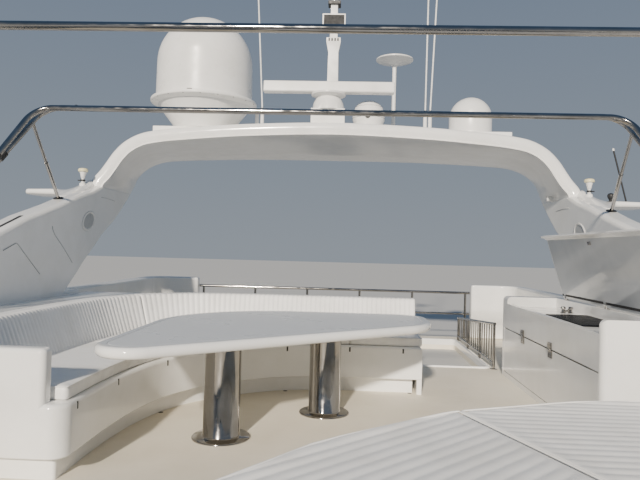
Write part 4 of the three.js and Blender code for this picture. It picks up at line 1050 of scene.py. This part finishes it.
# Stainless hinges of the door and lid, over the solids' own knuckles and lugs
bar = {"face": 1710, "seamZ": 466, "hinges": (4627, 5330), "lugs": (3960, 4810, 5660), "lidX": 2200,
       "lidZ": 783, "lean": 17, "lid": (3790, 5725), "lidWide": 560, "ledge": 765, "counter": 680}
front, seam = bar["face"], bar["seamZ"]
screw = turnedShape([(0, 0), (7, 0), (6, 2), (0, 2.6)], 0, 0, 20)
fixed, swung = [], []
for y in bar["hinges"]:
    fixed += [boxShape(front - 14.6, y - 30.6, seam + 3, front + 2, y + 30.6, seam + 52.6)]
    swung += [boxShape(front - 5.8, y - 42.6, seam - 64.6, front + 1.2, y + 42.6, seam - 7),
              rodShape((front - 8, y - 42.8, seam - 4), (front - 8, y + 42.8, seam - 4), 13.8, 24)]
    for sign in (-1, 1):
        fixed.append(onFace(screw, (front - 14.4, y + sign * 16, seam + 32), (0, -1, 0), (0, 0, 1)))
        swung.append(onFace(screw, (front - 5.6, y + sign * 24, seam - 42), (0, -1, 0), (0, 0, 1)))
makePiece("bar_hinge_plates", fixed, "polished_stainless", bevel=2, segments=2, turn=50)
makePiece("bar_door_hinges", swung, "polished_stainless", [], "bar_door", bevel=2, segments=2, turn=50)
makePiece("bar_lid_lugs", [boxShape(bar["lidX"] - 14.6, y - 20.6, bar["ledge"] - 3,
                                    bar["lidX"] + 14.6, y + 20.6, bar["lidZ"] + 12.6)
                           for y in bar["lugs"]], "polished_stainless", bevel=4, segments=3, turn=50)
drain = (1800, 3905)
makePiece("bar_drain", [turnedShape([(r, bar["counter"] + h) for r, h in (
    (0, -2), (30, -2), (30, 2), (26, 5), (16, 5), (14, 2), (0, 2))], *drain, 40)],
    "polished_stainless", crease=40)
tap = Vector((2070, 5300, bar["counter"]))
knob = turnedShape([(0, -1), (24, -1), (24, 4), (15, 8), (13, 26), (20, 34), (21, 46), (17, 53), (0, 55)],
                   0, 0, 36)
makePiece("bar_tap", [shifted(knob, *(tap + Vector((x, 0, 0)))) for x in (-32, 32)] + [
    rodShape(tap + Vector((-30, 0, 16)), tap + Vector((30, 0, 16)), 16),
    rodShape(tap + Vector((0, 0, 16)), tap + Vector((0, -62, 40)), 15)], "polished_stainless", crease=40)
lean = math.radians(bar["lean"])
lidUp = Vector((-math.sin(lean), 0, math.cos(lean)))
lidOut = Vector((-math.cos(lean), 0, -math.sin(lean)))


def onLid(y, up, out):
    return Vector((bar["lidX"], y, bar["lidZ"])) + lidUp * up + lidOut * out


# A straight strip along the lid: low and high up it, near and far inboard of its middle
def lidStrip(y0, y1, low, high, near, far):
    return loftShape([[onLid(y, low, near), onLid(y, high, near), onLid(y, high, far), onLid(y, low, far)]
                      for y in (y0, y1)])


y0, y1 = bar["lid"]
wide = bar["lidWide"]
# up the lid and inboard of its middle: the flared lip, drawn a little proud of the solid's
lip = [(wide, -11.6), (wide + 50.6, 51.6), (wide + 38, 63), (wide - 2.6, 11.6)]
makePiece("bar_lid_rim", [loftShape([[onLid(y, up, out) for up, out in lip] for y in (y0 - 0.6, y1 + 0.6)]),
                          lidStrip(y0 - 0.5, y0 + 15, 40, wide - 8, -11.5, 11.5),
                          lidStrip(y1 - 15, y1 + 0.5, 40, wide - 8, -11.5, 11.5)],
          "moulded_gelcoat", [], "bar_lid", bevel=4)
# a black gasket strip, drawn wide to stand for the painted shade in the gap under the lid
makePiece("bar_lid_gasket_and_gap_shade", [lidStrip(a, b, 20, 42, 2, 12.5) for a, b in (
    (y0 + 4, 3936), (3984, 4786), (4834, 5636), (5684, y1 - 4))],
    "rubber_and_gap_shade", [], "bar_lid", bevel=2, segments=2)
makePiece("bar_lid_catch", [lidStrip(4745, 4805, wide - 60, wide - 30, 10, 15)], "polished_stainless", [],
          "bar_lid", bevel=3)

# Windscreen
moulded("windscreen", "tinted_acrylic", 2)
moulded("windscreen_rail", "polished_stainless", 0)
print("bar and windscreen made")

# Helm wheel
helm = {"at": Vector((-1050, -1310, 800)), "r": 210, "grip": 14, "tilt": 25, "shaft": 104,
        "spokes": (90, 210, 330)}


def helmWheel():
    lean = math.radians(helm["tilt"])
    turn = Vector((0, 0, 1)).rotation_difference(Vector((0, math.cos(lean), math.sin(lean))))
    thick = helm["grip"]
    r = helm["r"] - thick

    def seat(shape):
        return [turn @ p + helm["at"] for p in shape[0]], shape[1]
    hoop = [Vector((r * c, r * s, 0)) for c, s in circle(64)]
    rings = [[p + thick * (p.normalized() * c + Vector((0, 0, s))) for c, s in circle(16)] for p in hoop]
    grip = seat(loftShape(rings, True))
    metal = [seat(turnedShape([(0, -20), (42, -20), (48, -12), (52, 0), (48, 12), (38, 21), (18, 26),
                               (0, 26)], 0, 0, 48)),
             seat(rodShape((0, 0, -helm["shaft"]), (0, 0, -10), 36, 32))]
    for degrees in helm["spokes"]:
        a = math.radians(degrees)
        way = Vector((math.cos(a), math.sin(a), 0))
        metal.append(seat(rodShape(way * 20, way * (r + 2), 18, 16)))
    return grip, metal


grip, metal = helmWheel()
makePiece("helm_wheel_spokes", metal, "polished_stainless", ["helm_wheel"], "helm_wheel", crease=50)
makePiece("helm_wheel_grip", [grip], "moulded_asa", [], "helm_wheel", crease=80)

# Helm console: instruments, screen, compass, switches and throttle on its two slopes
dash = {"low": (-1440, 740), "bend": (-1560, 880), "high": (-1780, 930), "middle": -1050,
        "dials": [(-1585, 42), (-1455, 42), (-1345, 30), (-755, 30), (-645, 42), (-515, 42)],
        "screen": (380, 168), "throttleX": -600, "switchX": -1480}


# Sets a fitting on one of the console's slopes, at a share of the way up
def onSlope(shape, x, slope, share):
    (y0, z0), (y1, z1) = slope
    return onFace(shape, (x, y0 + (y1 - y0) * share, z0 + (z1 - z0) * share), (-1, 0, 0),
                  (0, y1 - y0, z1 - z0))


def plate(wide, high, r, low, top):
    return slabShape(roundedOutline([(-wide / 2, -high / 2, r), (wide / 2, -high / 2, r),
                                     (wide / 2, high / 2, r), (-wide / 2, high / 2, r)]), low, top)


lowSlope, highSlope = (dash["low"], dash["bend"]), (dash["bend"], dash["high"])
makePiece("dash_panel", [onSlope(plate(1170, 148, 22, -3, 3), dash["middle"], lowSlope, 0.5)],
          "moulded_asa", bevel=2)
bezels, faces, marks = [], [], []
for x, r in dash["dials"]:
    bezels.append(onSlope(turnedShape([(r - 5, 2), (r, 2), (r + 4, 4), (r + 3, 9), (r - 2, 11),
                                       (r - 5, 8), (r - 5, 2)], 0, 0, 48), x, lowSlope, 0.5))
    faces.append(onSlope(turnedShape([(0, 4), (r - 4, 4), (r - 4, 6), (0, 6.5)], 0, 0, 48),
                         x, lowSlope, 0.5))
    for k in range(11):
        a = math.radians(225 - 27 * k)
        dot = rodShape((math.cos(a) * r * 0.66, math.sin(a) * r * 0.66, 7),
                       (math.cos(a) * r * 0.8, math.sin(a) * r * 0.8, 7), 1.6, 8)
        marks.append(onSlope(dot, x, lowSlope, 0.5))
    marks.append(onSlope(rodShape((0, 0, 7.5), (-r * 0.45, r * 0.4, 7.5), 2, 8), x, lowSlope, 0.5))
makePiece("dial_bezels", bezels, "polished_stainless", crease=35)
makePiece("dial_glass", faces, "screen_glass", crease=35)
makePiece("dial_marks", marks, "fibreglass_rod")
wideScreen, highScreen = dash["screen"]
makePiece("screen_frame", [onSlope(plate(wideScreen, highScreen, 16, -4, 14),
                                   dash["middle"], highSlope, 0.5)], "moulded_asa", bevel=5)
makePiece("screen_face", [onSlope(plate(wideScreen - 44, highScreen - 38, 6, 10, 14.8),
                                  dash["middle"], highSlope, 0.5)], "screen_glass", bevel=1, segments=2)
rockers = [onSlope(shifted(plate(20, 34, 4, -2, 6), 34 * k, 0), dash["switchX"], highSlope, 0.45)
           for k in range(-3, 4)]
makePiece("switch_rockers", rockers, "moulded_asa", bevel=2)
makePiece("switch_plate", [onSlope(plate(262, 70, 10, -3, 2.5), dash["switchX"], highSlope, 0.45)],
          "grey_and_painted_shade_gelcoat", bevel=2)
makePiece("throttle_base", [onSlope(plate(120, 150, 24, -3, 16), dash["throttleX"], highSlope, 0.5)],
          "moulded_asa", bevel=7)
arms = []
for x in (-26, 26):
    arms += [onSlope(rodShape((x, 0, 10), (x, -34, 118), 14, 16), dash["throttleX"], highSlope, 0.5),
             onSlope(rodShape((x - 15, -34, 118), (x + 15, -34, 118), 30, 24),
                     dash["throttleX"], highSlope, 0.5)]
makePiece("throttle_levers", arms, "polished_stainless", bevel=3, segments=2, turn=50)
compass = {"x": dash["middle"], "y": -1870, "z": 926, "bowl": 55, "bowlHigh": 50, "rim": 36}
for part, profile, finish, sides, crease in (
        ("base", [(0, -6), (76, -6), (76, 6), (66, 18), (60, 34), (56, 36), (0, 36)],
         "moulded_asa", 56, 30),
        ("bowl", [(compass["bowl"] * math.cos(a), compass["rim"] + compass["bowlHigh"] * math.sin(a))
                  for a in arcSteps(10, 0, 81)] + [(0, 86)], "lamp_lens", 56, 60),
        ("card", [(0, 37), (44, 37), (44, 44), (30, 50), (0, 52)], "moulded_asa", 48, 30)):
    makePiece(f"compass_{part}", [turnedShape([(r, compass["z"] + h) for r, h in profile],
                                              compass["x"], compass["y"], sides)], finish, crease=crease)
hatch = {"near": 60, "far": 520, "low": 190, "high": 640, "r": 30, "apart": 290}
line = hatchLine(-hatch["far"], hatch["low"], -hatch["near"], hatch["high"], hatch["r"], 3.5)
makePiece("console_hatch_line", [
    onFace(line, (dash["middle"] + sign * hatch["apart"], dash["low"][0], 0), (sign, 0, 0), (0, 0, 1))
    for sign in (-1, 1)], "rubber_and_gap_shade", crease=180)
print("helm dressed")

# Stair opening: a raised lip round it
stair = {"inboard": 950, "outboard": 1640, "from": 6290, "to": 8180, "r": 60, "lip": 34, "high": 16}
lipIn = roundedOutline([(stair["inboard"], stair["from"], stair["r"]),
                        (stair["outboard"], stair["from"], stair["r"]),
                        (stair["outboard"], stair["to"], stair["r"]),
                        (stair["inboard"], stair["to"], stair["r"])])
lipRings = [(0.5, -60), (0.5, 2), (-2, stair["high"] - 4), (-7, stair["high"]),
            (-stair["lip"] + 7, stair["high"]), (-stair["lip"] + 2, stair["high"] - 4),
            (-stair["lip"], 0.5), (-stair["lip"], -60)]
makePiece("stair_lip", [loftShape([ringAt(offsetLoop(lipIn, inset), z) for inset, z in lipRings], True)],
          "moulded_gelcoat", crease=50)

# Cushions. Each is a sewn box: seams stay put and the panels between them swell.
waiting = []  # cushions whose cloth is still to be run


def onSeam(i, j, k, counts):
    return sum((i in (0, counts[0]), j in (0, counts[1]), k in (0, counts[2]))) >= 2


# shape(u, v, w) gives a point of the cushion's box. Its edges and its underside hold the cloth, and
# sewn(i, j, k) says where a stitch does too; along is the axis, 0 or 2, that its channels run in
def makeCushion(name, counts, shape, stands, sewn=None, swell=0.03, pressure=4.0, cap=14, along=None):
    nu, nv, nw = counts
    numbers, points = {}, []

    def number(i, j, k):
        if (i, j, k) not in numbers:
            numbers[i, j, k] = len(points)
            points.append(shape(i / nu, j / nv, k / nw))
        return numbers[i, j, k]
    faces = []
    for i in range(nu):
        for j in range(nv):
            faces += [(number(i, j, 0), number(i, j + 1, 0), number(i + 1, j + 1, 0), number(i + 1, j, 0)),
                      (number(i, j, nw), number(i + 1, j, nw), number(i + 1, j + 1, nw),
                       number(i, j + 1, nw))]
        for k in range(nw):
            faces += [(number(i, 0, k), number(i + 1, 0, k), number(i + 1, 0, k + 1), number(i, 0, k + 1)),
                      (number(i, nv, k), number(i, nv, k + 1), number(i + 1, nv, k + 1),
                       number(i + 1, nv, k))]
    for j in range(nv):
        for k in range(nw):
            faces += [(number(0, j, k), number(0, j, k + 1), number(0, j + 1, k + 1), number(0, j + 1, k)),
                      (number(nu, j, k), number(nu, j + 1, k), number(nu, j + 1, k + 1),
                       number(nu, j, k + 1))]
    piece = makePiece(name, [(points, faces)], "embossed_vinyl", stands, crease=180)
    held = [n for (i, j, k), n in numbers.items()
            if onSeam(i, j, k, counts) or k == 0 or (sewn and sewn(i, j, k))]
    runs = {}
    if along is not None:
        for key in sorted(numbers):
            runs.setdefault(key[:along] + key[along + 1:], []).append(numbers[key])
    waiting.append({"piece": piece, "held": held, "swell": swell, "pressure": pressure, "cap": cap / 1000,
                    "runs": [run for run in runs.values() if len(run) > 2]})
    edge = ([(i, 0, nw) for i in range(nu)] + [(nu, j, nw) for j in range(nv)]
            + [(i, nv, nw) for i in range(nu, 0, -1)] + [(0, j, nw) for j in range(nv, 0, -1)])
    return [points[number(*key)] for key in edge]  # where the piping runs, round the top


def addPiping(name, edge, d):
    makePiece(name, [beadShape(edge, d, 8, True)], "embossed_vinyl", crease=180)


def ribbonShape(front, back, low, high):
    def shape(u, v, w):
        p = alongLine(front, u).lerp(alongLine(back, u), v)
        return Vector((p.x, p.y, low + (high - low) * w))
    return shape


cushion = {"setback": 35, "seamGap": 2, "piping": 7, "backPitch": 43, "padPitch": 60,
           "relief": 8, "fade": 70}
steps = settee["steps"]
seatFront = besideLine(frontLine, -cushion["setback"])
seatBack = besideLine(footLine, 0.5)


# A stretch of a line, with half the gap between two cushions taken off each end
def drawnIn(line, first, last):
    line = line[first:last + 1]
    start, end = (line[1] - line[0]).normalized(), (line[-2] - line[-1]).normalized()
    return [line[0] + start * cushion["seamGap"]] + line[1:-1] + [line[-1] + end * cushion["seamGap"]]


for run, first, last in (("side", 0, 3), ("corner", 3, 6), ("middle", 6, 9), ("aft", 9, 10)):
    front, back = (drawnIn(seatFront, first * steps, last * steps),
                   drawnIn(seatBack, first * steps, last * steps))
    length = sum((b - a).length for a, b in zip(front, front[1:]))
    counts = (max(10, round(length / 24)), 20, 4)
    topEdge = makeCushion(f"seat_pad_{run}", counts,
                          ribbonShape(front, back, settee["baseZ"] + 0.5, settee["seatZ"] - 3),
                          [f"seat_cushion_{run}"], cap=9)
    addPiping(f"seat_piping_{run}", topEdge, cushion["piping"])

perChannel = 5


# How full a sewn channel stands: nothing at its stitches, everything in its middle
def fullness(position):
    return math.sin(math.pi * (position % 1)) ** 0.6


for run, first, last in (("side", 0, 5), ("aft", 5, 10)):
    foot = drawnIn(footLine, first * steps, last * steps)
    length = sum((b - a).length for a, b in zip(foot, foot[1:]))
    channels = round(length / cushion["backPitch"])
    counts = (channels * perChannel, 5, 13)

    def backShape(u, v, w):
        here, there = alongLine(foot, max(0, u - 0.01)), alongLine(foot, min(1, u + 0.01))
        way = (there - here).normalized()
        out = Vector((-way.y, way.x))
        sunk = cushion["relief"] * (1 - fullness(round(u * channels * perChannel) / perChannel)) * (1 - v)
        p = alongLine(foot, u) + out * (settee["lean"] * w * (1 - v)
                                        + (settee["lean"] + settee["thick"]) * v + 1 + sunk)
        return Vector((p.x, p.y, settee["baseZ"] + 1 + (settee["backZ"] - 4 - settee["baseZ"]) * w
                       - (w > 0.99) * sunk / 2))
    makeCushion(f"back_pad_{run}", counts, backShape, [f"back_cushion_{run}"],
                lambda i, j, k: j == counts[1] or i % perChannel == 0,
                swell=0.01, pressure=6, cap=5, along=2)

# Sunpad: two pads that meet on a slanting seam, each sewn in straight channels
padCorners = [(2352, 500, 0), (-560, 500, 120), (-600, 1180, 260), (79, 2139, 60), (612, 2598, 420),
              (1231, 2859, 700), (1560, 2906, 0), (2352, 2906, 0)]
sunpad = {"seam": ((622, 2700), (1514, 440)), "gap": 3, "low": 360.5, "top": 497,
          "heading": {"starboard": 45.6, "port": 0}}


# The part of an outline on one side of the seam
def halfOutline(outline, keepSide, inset):
    a, b = (Vector(p) for p in sunpad["seam"])
    way = (b - a).normalized()
    out = Vector((-way.y, way.x)) * keepSide
    kept = []
    for p, q in zip(outline, outline[1:] + outline[:1]):
        dp, dq = (p - a).dot(out) - inset, (q - a).dot(out) - inset
        if dp >= 0:
            kept.append(p)
        if dp * dq < 0:
            kept.append(p.lerp(q, dp / (dp - dq)))
    return kept


for side, keepSide in (("starboard", -1), ("port", 1)):
    outline = halfOutline(roundedOutline(padCorners), keepSide, sunpad["gap"])
    angle = math.radians(sunpad["heading"][side])
    way, across = Vector((math.cos(angle), math.sin(angle))), Vector((-math.sin(angle), math.cos(angle)))
    spans = [p.dot(across) for p in outline]
    low, high = min(spans) + 8, max(spans) - 8
    channels = round((high - low) / cushion["padPitch"])
    lengths = [rowEnds(outline, way, across, low + (high - low) * t / 20) for t in range(21)]
    longest = max(e[1] - e[0] for e in lengths if e)
    counts = (round(longest / 48), channels * perChannel, 4)

    def padShape(u, v, w):
        start, end = rowEnds(outline, way, across, low + (high - low) * v)
        inset = min(4, (end - start) / 4)
        fromEnd = min(u, 1 - u) * (end - start)
        sunk = cushion["relief"] * (1 - fullness(round(v * channels * perChannel) / perChannel))
        if w < 0.99 or v in (0, 1):
            sunk = 0
        sunk *= min(1, fromEnd / cushion["fade"])
        p = way * (start + inset + (end - start - 2 * inset) * u) + across * (low + (high - low) * v)
        return Vector((p.x, p.y, sunpad["low"] + (sunpad["top"] - sunpad["low"]) * w - sunk))
    topEdge = makeCushion(f"sunpad_{side}_quilt", counts, padShape, [f"sunpad_cushion_{side}"],
                          lambda i, j, k: k == counts[2] and j % perChannel == 0,
                          swell=0.01, pressure=6, cap=8, along=0)
    addPiping(f"sunpad_piping_{side}", topEdge, cushion["piping"] + 1)

# Helm and lounge cushions
bench = {"x0": -1650, "x1": -440, "seat": (-915, -511, 450.5, 567), "back": (-509.5, -401, 450.5, 946)}
for name, (y0, y1, z0, z1), counts in (("seat", bench["seat"], (40, 16, 5)),
                                       ("back", bench["back"], (40, 5, 18))):
    def benchShape(u, v, w):
        return Vector((bench["x0"] + (bench["x1"] - bench["x0"]) * u, y0 + (y1 - y0) * v,
                       z0 + (z1 - z0) * w))
    topEdge = makeCushion(f"helm_{name}_pad", counts, benchShape, [f"helm_{name}_cushion"],
                          lambda i, j, k: (name == "back" and j == counts[1])
                          or (i in (13, 27) and (k == counts[2] or j == 0)), cap=12)
    addPiping(f"helm_{name}_piping", topEdge, cushion["piping"])
lounge = {"inboard": 368, "outboard": 2335, "aft": -838, "halfWidth": 2356, "from": -700,
          "reach": 1986, "low": 330.5, "top": 456}


def loungeShape(u, v, w):
    x = lounge["inboard"] + (lounge["outboard"] - lounge["inboard"]) * u
    front = lounge["from"] - lounge["reach"] * math.sqrt(1 - (x / lounge["halfWidth"]) ** 2)
    return Vector((x, front + (lounge["aft"] - front) * v,
                   lounge["low"] + (lounge["top"] - lounge["low"]) * w))


counts = (42, 36, 5)
topEdge = makeCushion("lounge_pad", counts, loungeShape, ["lounge_cushion"],
                      lambda i, j, k: k == counts[2] and (i in (14, 28) or j == 18), cap=12)
addPiping("lounge_piping", topEdge, cushion["piping"])


# The cloth: frames to run, how stiff the vinyl is, and over how many points each way a channel evens out
clothFacts = {"frames": 14, "quality": 5, "mass": 0.3, "damping": 1.0, "stretch": 15, "shear": 5,
              "bending": 0.5, "evenOut": 6}


def simulateCushions():
    scene = bpy.context.scene
    frames, evenOut = clothFacts["frames"], clothFacts["evenOut"]
    for job in waiting:
        piece = job["piece"]
        seams = piece.vertex_groups.new(name="seams")
        seams.add(job["held"], 1.0, "REPLACE")
        cloth = piece.modifiers.new("cloth", "CLOTH")
        facts = cloth.settings
        facts.quality, facts.mass = clothFacts["quality"], clothFacts["mass"]
        facts.air_damping = clothFacts["damping"]
        facts.tension_stiffness = facts.compression_stiffness = clothFacts["stretch"]
        facts.shear_stiffness, facts.bending_stiffness = clothFacts["shear"], clothFacts["bending"]
        facts.use_pressure, facts.uniform_pressure_force = True, job["pressure"]
        facts.shrink_min = -job["swell"]
        facts.vertex_group_mass, facts.pin_stiffness = "seams", 1.0
        facts.effector_weights.gravity = 0
        cloth.collision_settings.use_collision = False
        cloth.point_cache.frame_start, cloth.point_cache.frame_end = 1, frames
    for number in range(1, frames + 1):
        scene.frame_set(number)
    graph = bpy.context.evaluated_depsgraph_get()
    for job in waiting:
        piece = job["piece"]
        count = len(piece.data.vertices)
        start, moved = np.zeros(count * 3), np.zeros(count * 3)
        piece.data.vertices.foreach_get("co", start)
        shown = piece.evaluated_get(graph).to_mesh()
        shown.vertices.foreach_get("co", moved)
        step = (moved - start).reshape(-1, 3)
        reach = np.linalg.norm(step, axis=1)
        print(piece.name, count, "moves", round(float(reach.max()) * 1000, 1), "mm")
        step *= np.minimum(1, job["cap"] / np.maximum(reach, 1e-9))[:, None]
        for run in job["runs"]:  # tight vinyl: a channel fills evenly from end to end
            ends = np.pad(step[run], ((evenOut, evenOut), (0, 0)), mode="edge")
            step[run] = sum(ends[k:k + len(run)] for k in range(2 * evenOut + 1)) / (2 * evenOut + 1)
        step[job["held"]] = 0
        job["final"] = (start.reshape(-1, 3) + step).ravel()
    for job in waiting:
        piece = job["piece"]
        piece.modifiers.remove(piece.modifiers["cloth"])
        piece.data.vertices.foreach_set("co", job["final"])
        piece.data.update()
    scene.frame_set(1)


simulateCushions()
for job in waiting:
    finer = job["piece"].modifiers.new("finer", "SUBSURF")
    finer.levels = finer.render_levels = 1
print("cushions made")

# Floor
studio = {"colour": "C4C4C1", "rough": 0.9, "reach": 60}  # reach in metres each way
floor = bpy.data.meshes.new("floor")
size = studio["reach"]
floor.from_pydata([(-size, -size, 0), (size, -size, 0), (size, size, 0), (-size, size, 0)], [],
                  [(0, 1, 2, 3)])
paper = bpy.data.materials.new("studio_floor")
paper.use_nodes = True
paper.node_tree.nodes["Principled BSDF"].inputs["Base Color"].default_value = linear(studio["colour"])
paper.node_tree.nodes["Principled BSDF"].inputs["Roughness"].default_value = studio["rough"]
floor.materials.append(paper)
ground = bpy.data.objects.new("floor", floor)
bpy.context.scene.collection.objects.link(ground)
